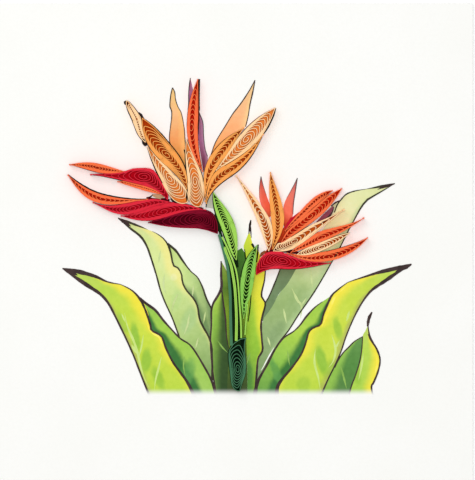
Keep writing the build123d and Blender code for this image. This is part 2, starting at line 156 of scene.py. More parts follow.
def boxes_meet(a, b):
    """Whether two outlines lie so near each other that they could touch."""
    for k in (0, 1):
        for one, other in ((a, b), (b, a)):
            if min(p[k] for p in one) > max(p[k] for p in other) + near_by:
                return False
    return True


def distance_to(point, toward, laid, far):
    """How far a line from the point runs before it meets a piece that is already laid."""
    nearest = far
    for outline in laid:
        for a, b in zip(outline, outline[1:] + outline[:1]):
            edge = (b[0] - a[0], b[1] - a[1])
            turn = toward[0] * edge[1] - toward[1] * edge[0]
            if abs(turn) < 1e-12:
                continue
            gap = (a[0] - point[0], a[1] - point[1])
            ahead = (gap[0] * edge[1] - gap[1] * edge[0]) / turn
            beside = (gap[0] * toward[1] - gap[1] * toward[0]) / turn
            if 0 <= beside <= 1 and 0 < ahead < nearest:
                nearest = ahead
    return nearest


class Coil:
    """One rolled strip, pinched at the tip and at the end, as in the CAD model but with finer turns.

    left and right are its half widths at a quarter, a half and three quarters of its length, and lean is in
    degrees. These go by pairs, towards the tip and towards the end: pinch is how sharp the coil is there,
    drift how far the winding moves sideways, and core the share of the width that is left open.
    """

    def __init__(self, tip, heart, end, left, right, lean=0, pinch=(1, 1), turns=9, pitch=tight_pitch,
                 drift=(0, 0), core=(core_share, core_share)):
        self.tip, self.heart, self.end = tip, heart, end
        self.left, self.right, self.pinch = left, right, pinch
        self.turns, self.pitch, self.drift = turns, pitch, drift
        self.core = core if isinstance(core, tuple) else (core, core)
        self.to_tip = math.dist(tip, heart)
        self.to_end = math.dist(end, heart)
        heading = math.atan2(tip[1] - end[1], tip[0] - end[0]) + math.radians(lean)
        self.along = (math.cos(heading), math.sin(heading))
        self.free = [1.0] * wall_samples
        self.seed = tip[0] * 1.7 + tip[1] * 0.9

    def axis(self, u):
        """The point of the bent axis at the distance u from the heart, and the direction square to it."""
        arm, far = (self.to_tip, self.tip) if u > 0 else (-self.to_end, self.end)
        share = u / arm
        bend = [far[i] - self.heart[i] - arm * self.along[i] for i in (0, 1)]
        point = [self.heart[i] + u * self.along[i] + share * share * bend[i] for i in (0, 1)]
        slope = [self.along[i] + 2 * share * bend[i] / arm for i in (0, 1)]
        length = math.hypot(*slope)
        return point, (-slope[1] / length, slope[0] / length)

    def half_width(self, angle):
        """The outer wall's distance from the axis, by the angle round the coil, which is 0 at the tip."""
        cos, sin = math.cos(angle), math.sin(angle)
        near, middle, back = self.left if sin > 0 else self.right
        near /= quarter_sine_squared ** ((1 + self.pinch[0]) / 2)
        back /= quarter_sine_squared ** ((1 + self.pinch[1]) / 2)
        power = 1 + (self.pinch[0] if cos > 0 else self.pinch[1])
        swell = middle + (near - back) * cos + 2 * (near + back - 2 * middle) * cos * cos
        return math.copysign(abs(sin) ** power * swell, sin)

    def distance_out(self, angle):
        return (self.to_tip if math.cos(angle) > 0 else self.to_end) * math.cos(angle)

    def wall_point(self, i, reach=1.0, inset=0.0):
        """The outer wall's point at sample i, drawn in towards the heart and the axis."""
        angle = 2 * math.pi * i / wall_samples
        foot, across = self.axis(self.distance_out(angle) * reach)
        v = self.free[i] * self.half_width(angle)
        if inset:
            v = math.copysign(max(least_ground, abs(v) - inset), v if abs(v) > 1e-6 else 1)
        return [foot[k] + v * across[k] for k in (0, 1)]

    def outline(self):
        return [self.wall_point(i) for i in range(wall_samples)]

    def press_against(self, laid):
        """Flattens the sides where pieces that are already glued down leave less room than the coil needs."""
        near = [outline for outline in laid if boxes_meet(outline, self.outline())]
        pressed = []
        for i in range(wall_samples):
            angle = 2 * math.pi * i / wall_samples
            v = self.half_width(angle)
            if abs(v) < glue_gap:
                pressed.append(1.0)
                continue
            foot, across = self.axis(self.distance_out(angle))
            toward = [a * math.copysign(1, v) for a in across]
            room = distance_to(foot, toward, near, abs(v) + glue_gap) - glue_gap
            pressed.append(clamp(room / abs(v), least_share, 1.0))
        for i in range(wall_samples):
            nearby = (pressed[i - 1], pressed[i], pressed[(i + 1) % wall_samples])
            eased = (min(nearby) + sum(nearby) / 3) / 2
            self.free[i] = eased if pressed[i] > min(nearby) else pressed[i]

    def lay_out(self):
        """Works out the line that the winding closes in on, and the half widths either side of it."""
        half = wall_samples // 2
        walls = []
        for i in range(half + 1):
            angle = 2 * math.pi * i / wall_samples
            left = self.free[i] * self.half_width(angle)
            right = -self.free[-i % wall_samples] * self.half_width(-angle) if 0 < i < half else 0.0
            walls.append((max(left, 0.0), max(right, 0.0)))
        at_heart = walls[half // 2]
        width = sum(at_heart)
        share = clamp(at_heart[0] / width, nearest_wall, 1 - nearest_wall)
        self.stations = []
        for i, (left, right) in enumerate(walls):
            u = self.distance_out(2 * math.pi * i / wall_samples)
            foot, across = self.axis(u)
            far = u / self.to_tip if u > 0 else -u / self.to_end
            moved = share + self.drift[0 if u > 0 else 1] * far
            moved = clamp(moved, drift_limit, 1 - drift_limit)
            own_left, own_right = (left + right) * moved, (left + right) * (1 - moved)
            core = [foot[k] + across[k] * (left - own_left) for k in (0, 1)]
            self.stations.append((u, core, across, own_left, own_right))
        self.radius = min(heart_radius, heart_share * (width * min(share, 1 - share)))

    def station(self, u):
        """The middle line's point at the distance u, the direction square to it, and both half widths."""
        low, high = 0, len(self.stations) - 1
        while high - low > 1:
            middle = (low + high) // 2
            low, high = (middle, high) if self.stations[middle][0] >= u else (low, middle)
        a, b = self.stations[low], self.stations[high]
        share = clamp((a[0] - u) / (a[0] - b[0]), 0, 1)
        core, across = between(a[1], b[1], share), between(a[2], b[2], share)
        return core, across, a[3] + (b[3] - a[3]) * share, a[4] + (b[4] - a[4]) * share

    def reach(self, k, arm):
        """How far turn k reaches along the axis on an arm of this length."""
        left_over = 1 - clamp(k / self.turns, 0, 1)
        jitter = unevenness * wobble(k * 0.9, self.seed, arm) / self.turns * min(1, k)
        pinch = self.pinch[0] if arm == self.to_tip else self.pinch[1]
        other = self.to_end if arm == self.to_tip else self.to_tip
        power = 1 + crowding * clamp(arm / other - 1, 0, 1)
        opened = (1 - first_gap * pinch * min(k, 1)) * left_over ** power
        return self.radius + (arm - self.radius) * clamp(opened + jitter * left_over, 0, 1)

    def open_share(self, u):
        """The share of the width that is left open, changing near the heart from one arm to the other."""
        toward_tip, toward_end = self.core
        arm = self.to_tip if u > 0 else self.to_end
        return toward_end + (toward_tip - toward_end) * clamp(0.5 + blend * u / arm, 0, 1)

    def packed(self, k, u, arm, half):
        """How far turn k lies inside the outer wall at the distance u, where the turns are packed."""
        beyond = clamp((abs(u) - self.radius) / (arm - self.radius), 0, 1)
        passing = max(least_passing, self.turns * (1 - beyond ** passing_power))
        return k * min(self.pitch, (1 - self.open_share(u)) * self.station(u)[half] / passing)

    def open_half(self, k, u, arm, half):
        return max(0.0, self.station(u)[half] - self.packed(k, u, arm, half))

    def turn_point(self, k, angle):
        """The point of turn k at this angle, and its distance from the middle line."""
        cos, sin = math.cos(angle), math.sin(angle)
        arm, sign = (self.to_tip, 1) if cos > 0 else (self.to_end, -1)
        half = 2 if sin >= 0 else 3
        a = self.reach(k, arm)
        u = a * cos
        v = self.open_half(k, u, arm, half)
        if k > 0:
            arch = 0.0
            for _ in range(arch_tries):
                arch = min(arch_share * a, arch_length * self.open_half(k, sign * (a - arch), arm, half))
            past = (abs(u) - (a - arch)) / arch if arch > 0 else 0
            if past > 0:
                v *= max(0.0, 1 - min(1, past) ** arch_power) ** (1 / arch_power)
            round_v = roundness * a * math.sqrt(max(0.0, 1 - cos * cos))
            if v > 0 and round_v > 0:
                v = (v ** -corner_power + round_v ** -corner_power) ** (-1 / corner_power)
        core, across = self.station(u)[:2]
        v = math.copysign(v, sin)
        return [core[i] + across[i] * v for i in (0, 1)], abs(v)

    def winding(self):
        """The strip's outer face from its glued end inwards, with the room that it has at each point."""
        passed = []
        past = 0.0
        while past < self.turns:
            passed.append(past)
            share = past / self.turns
            past += 1 / (turn_samples + (least_samples - turn_samples) * share)
        passed.append(self.turns)
        line, rooms = [], []
        for past in passed:
            k = past if past >= 1 else clamp((past - leave_wall) * leave_rate, 0, 1)
            angle = 2 * math.pi * (past + start_turn)
            point, v = self.turn_point(k, angle)
            inner = self.turn_point(min(k + 1, self.turns + inner_room), angle)[0]
            room = room_share * math.dist(point, inner)
            if abs(math.cos(angle)) < near_pinch and k < self.turns - 1:
                room = min(room, max(side_share * v, least_paper))
            line.append(point)
            rooms.append(clamp(room, least_paper, paper))
        return line, rooms, passed


def mesh_object(name, vertices, faces, sharp=(), smooth=True):
    mesh = bpy.data.meshes.new(name)
    mesh.from_pydata([(x * mm, y * mm, z * mm) for x, y, z in vertices], [], faces)
    mesh.update()
    if smooth:
        mesh.shade_smooth()
    else:
        mesh.shade_flat()
    if sharp:
        keys = {tuple(sorted(pair)) for pair in sharp}
        attribute = mesh.attributes.new("sharp_edge", "BOOLEAN", "EDGE")
        for i, edge in enumerate(mesh.edges):
            attribute.data[i].value = tuple(sorted(edge.vertices)) in keys
    piece = bpy.data.objects.new(name, mesh)
    bpy.context.scene.collection.objects.link(piece)
    return piece


def strip_on_edge(name, outer, inner, tops):
    """A closed solid of one strip of paper on edge, from its two faces seen from above."""
    vertices = []
    for (ox, oy), (ix, iy), top in zip(outer, inner, tops):
        vertices += [(ox, oy, card_top), (ox, oy, top), (ix, iy, top), (ix, iy, card_top)]
    last = 4 * (len(outer) - 1)
    faces, sharp = [], []
    for a in range(0, last, 4):
        for k in range(4):
            n = (k + 1) % 4
            faces.append((a + k, a + n, a + 4 + n, a + 4 + k))
            sharp.append((a + k, a + 4 + k))
    faces += [(3, 2, 1, 0), (last, last + 1, last + 2, last + 3)]
    for end in (0, last):
        sharp += [(end + k, end + (k + 1) % 4) for k in range(4)]
    return mesh_object(name, vertices, faces, sharp)


def coil_piece(name, coil):
    """The wound strip, with the turns' top edges not all at one height."""
    line, rooms, passed = coil.winding()
    tops = [coil_top - turn_drop * (0.5 + 0.5 * wobble(p * turn_wave, coil.seed, 5.0)) for p in passed]
    return strip_on_edge(name, line, offset(line, rooms), tops)


# Materials. Colours are written as on a screen, 0 to 255.
white = (1, 1, 1, 1)
card_white = (250, 250, 247)
card_shade = (248, 248, 244)
card_grain = (245, 245, 241)
floor_white = (250, 250, 250)
shadow_green = (0.25, 0.3, 0.1, 1)

# How many grains there are to a metre
strip_fibres = 2600
strip_patches = 170
fibre_scale = 1500
fibre_rough = 0.65
card_clouds = 25
ground_streaks = 90
brush_grain = 700
brush_clouds = 130
ink_clouds = 300
shake_scale = 420

# The heights up the card, in metres, between which the ground's ink changes to its upper colour
upper_from = 0.010
upper_full = 0.015


def linear(colour):
    """A colour of the screen as the light that it stands for."""
    shares = [c / 255 for c in colour]
    return (*(c / 12.92 if c <= 0.04045 else ((c + 0.055) / 1.055) ** 2.4 for c in shares), 1.0)


def node(tree, kind, **values):
    made = tree.nodes.new(kind)
    for key, value in values.items():
        setattr(made, key, value)
    return made


def feed(tree, socket, value):
    """Joins another node's output to the socket, or sets the socket to a value."""
    if hasattr(value, "is_output"):
        tree.links.new(value, socket)
    else:
        socket.default_value = value


def start_material(name, roughness, specular):
    """A new material, its nodes, its shader, and the place on the piece, whole and by its three parts."""
    made = bpy.data.materials.new(name)
    made.use_nodes = True
    tree = made.node_tree
    shader = tree.nodes["Principled BSDF"]
    shader.inputs["Roughness"].default_value = roughness
    shader.inputs["Specular IOR Level"].default_value = specular
    place = node(tree, "ShaderNodeTexCoord").outputs["Object"]
    split = node(tree, "ShaderNodeSeparateXYZ")
    feed(tree, split.inputs[0], place)
    return made, tree, shader, place, split.outputs


def noise_node(tree, vector, scale, detail=3.0, roughness=0.55):
    made = node(tree, "ShaderNodeTexNoise")
    for socket, value in (("Scale", scale), ("Detail", detail), ("Roughness", roughness), ("Vector", vector)):
        feed(tree, made.inputs[socket], value)
    return made


def noise_of(tree, vector, scale, detail=3.0, roughness=0.55):
    return noise_node(tree, vector, scale, detail, roughness).outputs["Fac"]


def ramp(tree, factor, stops):
    made = node(tree, "ShaderNodeValToRGB")
    elements = made.color_ramp.elements
    while len(elements) < len(stops):
        elements.new(0.5)
    for element, (place, colour) in zip(elements, stops):
        element.position = place
        element.color = colour
    feed(tree, made.inputs["Fac"], factor)
    return made.outputs["Color"]


def mix(tree, factor, a, b, blend_type="MIX"):
    made = node(tree, "ShaderNodeMix", data_type="RGBA", blend_type=blend_type)
    for socket, value in ((0, factor), (6, a), (7, b)):
        feed(tree, made.inputs[socket], value)
    return made.outputs[2]


def calc(tree, operation, a, b):
    made = node(tree, "ShaderNodeMath", operation=operation)
    feed(tree, made.inputs[0], a)
    feed(tree, made.inputs[1], b)
    return made.outputs[0]


def scaled(tree, value, low, high, to_low=0.0, to_high=1.0):
    made = node(tree, "ShaderNodeMapRange", clamp=True, interpolation_type="SMOOTHSTEP")
    for socket, number in enumerate((value, low, high, to_low, to_high)):
        feed(tree, made.inputs[socket], number)
    return made.outputs[0]


def bump(tree, height, strength, distance, shader):
    """Gives the shader a fine relief, whose distance is in metres."""
    made = node(tree, "ShaderNodeBump")
    for socket, value in (("Strength", strength), ("Distance", distance), ("Height", height)):
        feed(tree, made.inputs[socket], value)
    feed(tree, shader.inputs["Normal"], made.outputs["Normal"])


def quilling_paper(name, edge, wall, well_shade):
    """Coloured paper on edge, with painted light at its cut edge and painted shade darkening it down between
    the turns.
    """
    made, tree, shader, place, (x, y, z) = start_material(name, 0.8, 0.04)
    # Painted shade and light: colour runs from painted shade low between the turns to painted light at the
    # top edge
    down = scaled(tree, z, (card_top + 0.1) * mm, coil_top * mm)
    colour = ramp(tree, down, [(0.1, linear(well_shade)), (0.8, linear(wall)), (0.97, linear(edge))])
    fibres = noise_of(tree, place, strip_fibres, 4.0)
    patches = noise_of(tree, place, strip_patches, 2.0)
    colour = mix(tree, scaled(tree, patches, 0.35, 0.75, 0.0, 0.22), colour, linear(wall))
    colour = mix(tree, scaled(tree, fibres, 0.3, 0.8, 0.0, 0.12), colour, white, "SOFT_LIGHT")
    feed(tree, shader.inputs["Base Color"], colour)
    bump(tree, fibres, 0.25, 0.00004, shader)
    return made


def card_paper():
    made, tree, shader, place, _ = start_material("card_paper", 0.75, 0.2)
    grain = noise_of(tree, place, fibre_scale, 5.0, fibre_rough)
    clouds = noise_of(tree, place, card_clouds, 2.0)
    colour = mix(tree, scaled(tree, clouds, 0.3, 0.7), linear(card_white), linear(card_shade))
    colour = mix(tree, scaled(tree, grain, 0.35, 0.75, 0.0, 0.5), colour, linear(card_grain))
    feed(tree, shader.inputs["Base Color"], colour)
    bump(tree, grain, 0.35, 0.00006, shader)
    return made


def ground_ink_and_shade(name, colour, darker, upper=None):
    """The even ink under the coils, darkened as painted shade deep in the wells, in another colour in the
    card's upper part where one is given.
    """
    made, tree, shader, place, (x, y, z) = start_material(name, 0.8, 0.05)
    streaks = noise_of(tree, place, ground_streaks, 3.0)
    out = mix(tree, scaled(tree, streaks, 0.3, 0.7), linear(colour), linear(darker))
    if upper:
        out = mix(tree, scaled(tree, y, upper_from, upper_full), out, linear(upper))
    feed(tree, shader.inputs["Base Color"], out)
    bump(tree, noise_of(tree, place, fibre_scale, 5.0, fibre_rough), 0.3, 0.00005, shader)
    return made


# Print: its ink, the foot of the leaves, its layers, and how far each stroke lies above the one before
ink_rough = 0.75
ink_shine = 0.06
leaf_foot = -49.3
foot_white = -0.0492
foot_inked = -0.0466
ink_layer = 0.02
ink_lift = 0.0003
thinnest_line = 0.02
layer_of = {"petals": 0, "pale": 1, "dark": 2, "bright": 3, "veins": 4, "lines": 5}
line_wobble = 0.22
line_wave = 0.9

# How finely the sheets and strokes are divided along and across
sheet_rows = 44
sheet_columns = 8
shade_columns = 4
stroke_rows = 40
short_rows = 20
vein_rows = 16
rim_rows = 60

# How unsteady the colours' borders are: in metres on the card, and as a share of the leaf's width
unsteady = 0.0011
tremble = 0.12
spot_softness = 0.38


def ink_start(name):
    """A new ink, the place on the card and across the leaf, both a little unsteady, and along the leaf."""
    start = start_material(name, ink_rough, ink_shine)
    tree, place = start[1], start[3]
    shake = noise_node(tree, place, shake_scale, 2, 0.5)
    moved = node(tree, "ShaderNodeVectorMath", operation="MULTIPLY_ADD")
    for socket, value in enumerate((shake.outputs["Color"], (unsteady, unsteady, 0), place)):
        feed(tree, moved.inputs[socket], value)
    split = node(tree, "ShaderNodeSeparateXYZ")
    feed(tree, split.inputs[0], node(tree, "ShaderNodeUVMap", uv_map="leaf").outputs[0])
    shaken = calc(tree, "MULTIPLY", calc(tree, "SUBTRACT", shake.outputs["Fac"], 0.5), tremble)
    across = calc(tree, "ADD", split.outputs[0], shaken)
    return start, moved.outputs[0], across, split.outputs[1]


def spot(tree, place, colour, centre, radii, turn, paint, strength):
    """A soft-edged oval of another colour, at a point of the photograph."""
    mapping = node(tree, "ShaderNodeMapping", vector_type="TEXTURE")
    [(x, y)] = points(centre)
    half = unsteady / 2
    feed(tree, mapping.inputs["Location"], (x * mm + half, y * mm + half, 0))
    feed(tree, mapping.inputs["Rotation"], (0, 0, math.radians(turn)))
    feed(tree, mapping.inputs["Scale"], (radii[0] * px * mm, radii[1] * px * mm, 1))
    feed(tree, mapping.inputs["Vector"], place)
    length = node(tree, "ShaderNodeVectorMath", operation="LENGTH")
    feed(tree, length.inputs[0], mapping.outputs[0])
    inside, outside = 1 - spot_softness, 1 + spot_softness
    mask = scaled(tree, length.outputs["Value"], inside, outside, strength, 0.0)
    return mix(tree, mask, colour, linear(paint))


def edge_band(tree, across, far, colour, from_left, widths, paint, soft, strength):
    """A band of another colour along one edge, whose width changes along the leaf."""
    side = across if from_left else calc(tree, "SUBTRACT", 1.0, across)
    width = ramp(tree, far, [(at, (value, value, value, 1)) for at, value in widths])
    gap = calc(tree, "SUBTRACT", side, width)
    return mix(tree, scaled(tree, gap, -soft, soft, strength, 0.0), colour, linear(paint))


def ink_end(start, colour):
    """Adds the brush's streaks, the card's grain and the fade at the leaves' feet."""
    made, tree, shader, place, (x, y, z) = start
    fine = noise_of(tree, place, brush_grain, 4.0)
    colour = mix(tree, scaled(tree, fine, 0.3, 0.7, 0.0, 0.16), colour, white, "SOFT_LIGHT")
    cloudy = noise_of(tree, place, brush_clouds, 2.0)
    colour = mix(tree, scaled(tree, cloudy, 0.35, 0.7, 0.0, 0.2), colour, shadow_green, "SOFT_LIGHT")
    foot = scaled(tree, y, foot_white, foot_inked)
    feed(tree, shader.inputs["Base Color"], mix(tree, foot, linear(card_white), colour))
    bump(tree, noise_of(tree, place, fibre_scale, 5.0, fibre_rough), 0.3, 0.00005, shader)
    return made


def leaf_ink(name, stops, bands=(), spots=()):
    """The ink of a leaf: its colours from tip to foot, the bands along its edges, and its spots."""
    start, moved, across, far = ink_start(name)
    tree = start[1]
    colour = ramp(tree, far, [(at, linear(paint)) for at, paint in stops])
    for band in bands:
        colour = edge_band(tree, across, far, colour, *band)
    for one_spot in spots:
        colour = spot(tree, moved, colour, *one_spot)
    return ink_end(start, colour)


def plain_ink(name, paint, darker):
    start = start_material(name, ink_rough, ink_shine)
    tree, place = start[1], start[3]
    cloudy = noise_of(tree, place, ink_clouds, 3.0)
    colour = mix(tree, scaled(tree, cloudy, 0.3, 0.7), linear(paint), linear(darker))
    return ink_end(start, colour)


# Each coil: its tip, heart and end, its half widths to the left and to the right, how far it leans in
# degrees, and its pinch. The rest stands there where it differs from what is usual.
coils = {
    "red_spike_petal": Coil((-11.6, 51.7), (-13.6, 36.7), (-10, 22.1), (1.3, 1.5, 0.9), (1.5, 2, 1.5), -5),
    "left_petal_upper": Coil(
        (-29.3, 39.4), (-21.5, 27.7), (-15.1, 16.6), (2.6, 2.8, 1.5), (2.5, 2.8, 2.2), 10, turns=10,
        pitch=0.32, drift=(-0.3, 0.22), core=(0.45, 0.35)),
    "left_petal_lower": Coil(
        (-27.7, 30.3), (-20.6, 20.2), (-15, 12.4), (1.7, 2.8, 3.2), (1, 1.9, 2.3), 0, (1, 0.2), turns=8,
        drift=(0.33, 0.1), core=(0.32, 0.75)),
    "left_petal_tip": Coil(
        (-34.2, 44.9), (-31, 39), (-28.2, 31.5), (1.2, 1.5, 1.7), (1, 1.4, 1.4), 5, (0.3, 1),
        drift=(0.12, 0.25), core=0.3),
    "centre_petal": Coil(
        (-15.2, 32.7), (-12.4, 19.2), (-11.2, 11), (1.8, 2.5, 2.9), (1.4, 2.5, 2.2), 0, (1, 0.1), turns=8,
        core=(0.55, 0.75)),
    "right_petal_inner": Coil(
        (3.1, 36.2), (-5.5, 26.5), (-9.2, 12.6), (1.7, 2.2, 1.3), (1.4, 1.8, 0.9), -7),
    "right_petal_outer": Coil(
        (13.1, 42.6), (3.9, 32.6), (-5.9, 22.6), (2.1, 2.4, 1.4), (2.3, 2.9, 1.8), 0, (0.9, 1), turns=10,
        core=0.65),
    "right_petal_lower": Coil((9.3, 34.3), (-1.8, 22.5), (-8.9, 12), (1.9, 2.8, 2), (1.2, 1.7, 0.8), -15),
    "upper_bract_tip": Coil(
        (-52.5, 24.5), (-43.6, 23.6), (-34.7, 22.3), (1, 1.5, 1.1), (0.9, 1.3, 0.9), -5),
    "upper_bract_petal": Coil(
        (-45.8, 21.3), (-28.8, 20.7), (-21.2, 13.2), (1.7, 2.8, 2.2), (0.9, 2.8, 2.9), 8, core=0.7),
    "upper_bract_underside": Coil(
        (-37.2, 19.1), (-29.4, 17.4), (-23, 15), (0.7, 0.9, 0.7), (1.2, 1.9, 1.6), drift=(0.1, 0.1)),
    "long_bract_tip": Coil(
        (-53, 21.3), (-42, 13.6), (-27.4, 13.5), (1.1, 1.6, 0.6), (1.2, 1.3, 0.8), 5, drift=(0.2, 0.2)),
    "long_bract_middle": Coil(
        (-45, 12.5), (-32.5, 10.6), (-19.1, 12.3), (0.8, 1.7, 1), (1.5, 2.2, 1.5), 20, turns=10, core=0.55),
    "long_bract_lower": Coil(
        (-36.1, 8.2), (-22.6, 9.5), (-8.9, 10), (1.4, 1.9, 1.2), (1.8, 2.6, 1.4), 15, core=0.55),
    "bract_base": Coil(
        (-27.4, 6.1), (-12.1, 7.1), (-5.4, 2.5), (1.7, 2.7, 2.6), (2.2, 3.6, 3), 15, core=0.7),
    "small_left_petal": Coil(
        (0.5, 21.1), (8.5, 8.2), (10.9, -3.1), (0.9, 1.7, 1.6), (1, 1.9, 1.8), 5, core=(0.5, 0.6)),
    "small_upright_petal": Coil(
        (11.5, 22.2), (13.7, 9.4), (12.2, -2.5), (1.5, 2.2, 2), (1.4, 2, 1.2), 10, turns=10, core=0.4),
    "small_fan_petal_1": Coil(
        (31.3, 16.3), (24, 11.4), (16, 3.3), (1.1, 1.1, 0.8), (1.1, 1.2, 0.8), 5, turns=8,
        drift=(-0.15, -0.15), core=0.4),
    "small_fan_petal_2": Coil(
        (34.3, 17), (24.3, 8.2), (14.7, -0.7), (1.8, 2.1, 1.6), (1.4, 1.9, 1.4), -6, core=0.6),
    "small_fan_petal_3": Coil(
        (35.1, 10.3), (18.9, 0.1), (12.3, -3), (1.4, 2.6, 2.3), (1, 1.9, 1.5), core=(0.3, 0.8)),
    "small_fan_petal_4": Coil(
        (41.3, 7.6), (27.5, 1.2), (17.8, -3.5), (1.1, 2.2, 1.6), (0.8, 1.2, 1.1), -5, core=0.45),
    "small_fan_petal_5": Coil(
        (36.7, 2.8), (27.5, -1.8), (19.8, -4.1), (1.3, 1.6, 1.4), (0.8, 1.1, 1), core=0.72),
    "small_fan_petal_6": Coil(
        (42.5, 1.3), (29.6, -4.9), (16.6, -3.6), (1.5, 1.9, 1.3), (1.1, 1.3, 0.8), core=0.5),
    "small_bract": Coil(
        (30.7, -6.8), (15.4, -6), (7.1, -10.6), (1.1, 2.9, 3.3), (1.7, 2.6, 1.9), -14, core=0.75),
    "upper_bud_leaf": Coil(
        (-6.6, 15.7), (-2.7, 5.2), (0.7, -5.9), (1.4, 1.6, 1.5), (2, 2.8, 1.8), 5, (1, 0.6), turns=11),
    "lower_bud_leaf": Coil(
        (7.3, -1.1), (4.4, -11.6), (2.9, -24.5), (2, 2.3, 1.4), (1.2, 1.9, 1.5), turns=10),
    "stem_base_coil": Coil(
        (3.8, -30.6), (1.1, -40.5), (1.8, -47.5), (4, 2.7, 2.1), (1.4, 2.6, 1.9), 0, (1, 0.4), turns=8,
        core=(0.8, 1)),
}

# The paths of the stem's strips
edge_line = [
    (-4.8, 2.3), (-3.9, -1), (-3.3, -3.2), (-2.6, -6), (-2, -9.2), (-1.6, -13), (-1.3, -17), (-1.2, -22),
    (-1.1, -27), (-0.9, -33),
]
loop_line = [
    (-3, -2), (-2.5, -3.6), (-1.7, -5.6), (-1.1, -7.4), (-0.7, -9.2), (-0.2, -12), (0.2, -15), (0.5, -19.5),
    (0.7, -25), (0.6, -31.5),
]
long_line = [
    (-3.9, 1.5), (-2.3, -1.6), (-0.9, -5), (0, -7.4), (0.6, -9.4), (1.1, -12.4), (1.4, -15.6), (1.7, -20),
    (2.1, -26), (2.2, -30.6),
]
short_line = [(4.2, -19.7), (3.9, -23.5), (3.6, -26.7), (3.4, -29.6)]


def smooth(line, steps=5):
    """A smooth line through the points."""
    last = len(line) - 1
    out = []
    for i in range(last):
        p = [line[clamp(i + k, 0, last)] for k in (-1, 0, 1, 2)]
        for s in range(steps):
            t = s / steps
            out.append(tuple(
                0.5 * (
                    2 * p[1][c] + (p[2][c] - p[0][c]) * t
                    + (2 * p[0][c] - 5 * p[1][c] + 4 * p[2][c] - p[3][c]) * t * t
                    + (3 * p[1][c] - p[0][c] - 3 * p[2][c] + p[3][c]) * t * t * t
                )
                for c in (0, 1)
            ))
    out.append(tuple(line[-1]))
    return out


def stem_piece(name, line, thickness):
    path = smooth(line)
    left, right = both_sides(path, thickness / 2)
    waves = [wobble(i * strip_wave, thickness * 9, 2.0) for i in range(len(path))]
    return strip_on_edge(name, left, right, [coil_top - strip_drop * (1 + wave) for wave in waves])


bow_steps = 8


def folded_path(line, gap):
    """A strip that runs up one side of a line, round its first point, and down the other side."""
    down, up = both_sides(line, gap / 2)
    up = up[::-1]
    (x, y), after = line[:2]
    heading = math.atan2(y - after[1], x - after[0])
    bow = []
    for i in range(1, bow_steps):
        angle = heading - math.pi / 2 + math.pi * i / bow_steps
        bow.append((x + gap / 2 * math.cos(angle), y + gap / 2 * math.sin(angle)))
    if math.dist(up[-1], bow[-1]) < math.dist(up[-1], bow[0]):
        bow.reverse()
    return up + bow + down


# The strips of the stem, with their paths and thicknesses
strip_shapes = {
    "stem_edge_strip": (edge_line, 0.88),
    "stem_loop_strip": (folded_path(loop_line, 0.44), 0.38),
    "stem_long_strip": (long_line, 0.5),
    "stem_short_strip": (short_line, 0.4),
}

# Each paper: edge colour with painted light, wall, painted shade, ground ink with painted shade, and its
# pieces
papers = {
    "peach_paper": (
        (255, 213, 163), (255, 176, 90), (250, 134, 34), ((218, 108, 20), (196, 90, 12), (252, 164, 70)),
        ("left_petal_tip", "left_petal_lower", "centre_petal", "right_petal_outer", "small_left_petal",
         "small_fan_petal_3", "small_fan_petal_5"),
    ),
    "orange_paper": (
        (246, 164, 84), (248, 130, 38), (220, 86, 8), ((204, 80, 6), (182, 62, 4)),
        ("left_petal_upper", "right_petal_inner", "right_petal_lower", "small_upright_petal"),
    ),
    "orange_red_paper": (
        (246, 113, 66), (244, 72, 26), (232, 38, 6), ((224, 38, 4), (200, 26, 4)),
        ("red_spike_petal", "upper_bract_tip", "upper_bract_underside", "long_bract_tip", "small_fan_petal_1",
         "small_fan_petal_2", "small_fan_petal_4", "small_fan_petal_6"),
    ),
    "crimson_paper": (
        (220, 42, 60), (206, 8, 36), (190, 0, 20), ((220, 8, 34), (196, 2, 24)),
        ("upper_bract_petal", "long_bract_middle", "long_bract_lower", "small_bract"),
    ),
    "maroon_paper": (
        (128, 12, 38), (112, 2, 30), (100, 0, 22), ((112, 0, 26), (96, 0, 22)), ("bract_base",),
    ),
    "leaf_green_paper": (
        (160, 212, 90), (120, 182, 54), (26, 68, 4), ((30, 72, 4), (16, 50, 4)),
        ("upper_bud_leaf", "lower_bud_leaf", "stem_loop_strip", "stem_long_strip", "stem_short_strip"),
    ),
    "teal_paper": (
        (70, 120, 86), (42, 86, 54), (6, 32, 14), ((8, 34, 16), (4, 24, 12)),
        ("stem_base_coil", "stem_edge_strip"),
    ),
}
paper_of = {owner: name for name, values in papers.items() for owner in values[-1]}
paper_looks = {name: quilling_paper(name, *values[:3]) for name, values in papers.items()}
looks = {owner: paper_looks[name] for owner, name in paper_of.items()}
looks["lower_bud_leaf"] = quilling_paper("deep_green_paper", (142, 204, 88), (84, 150, 44), (10, 44, 4))


def state(piece, slot_name, *nodes):
    """Says what the piece rides on and what it stands for; slot_name is not used."""
    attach(piece, "root")
    if nodes:
        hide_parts(*nodes)


def thin_field(name, outlines, base, thickness):
    """Thin fields of print with painted shade, each one closed."""
    vertices, faces = [], []
    for outline in outlines:
        first, count = len(vertices), len(outline)
        vertices += [(x, y, base) for x, y in outline] + [(x, y, base + thickness) for x, y in outline]
        faces.append(tuple(first + i for i in range(count))[::-1])
        faces.append(tuple(first + count + i for i in range(count)))
        for i in range(count):
            n = (i + 1) % count
            faces.append((first + i, first + n, first + count + n, first + count + i))
    return mesh_object(name, vertices, faces, smooth=False)


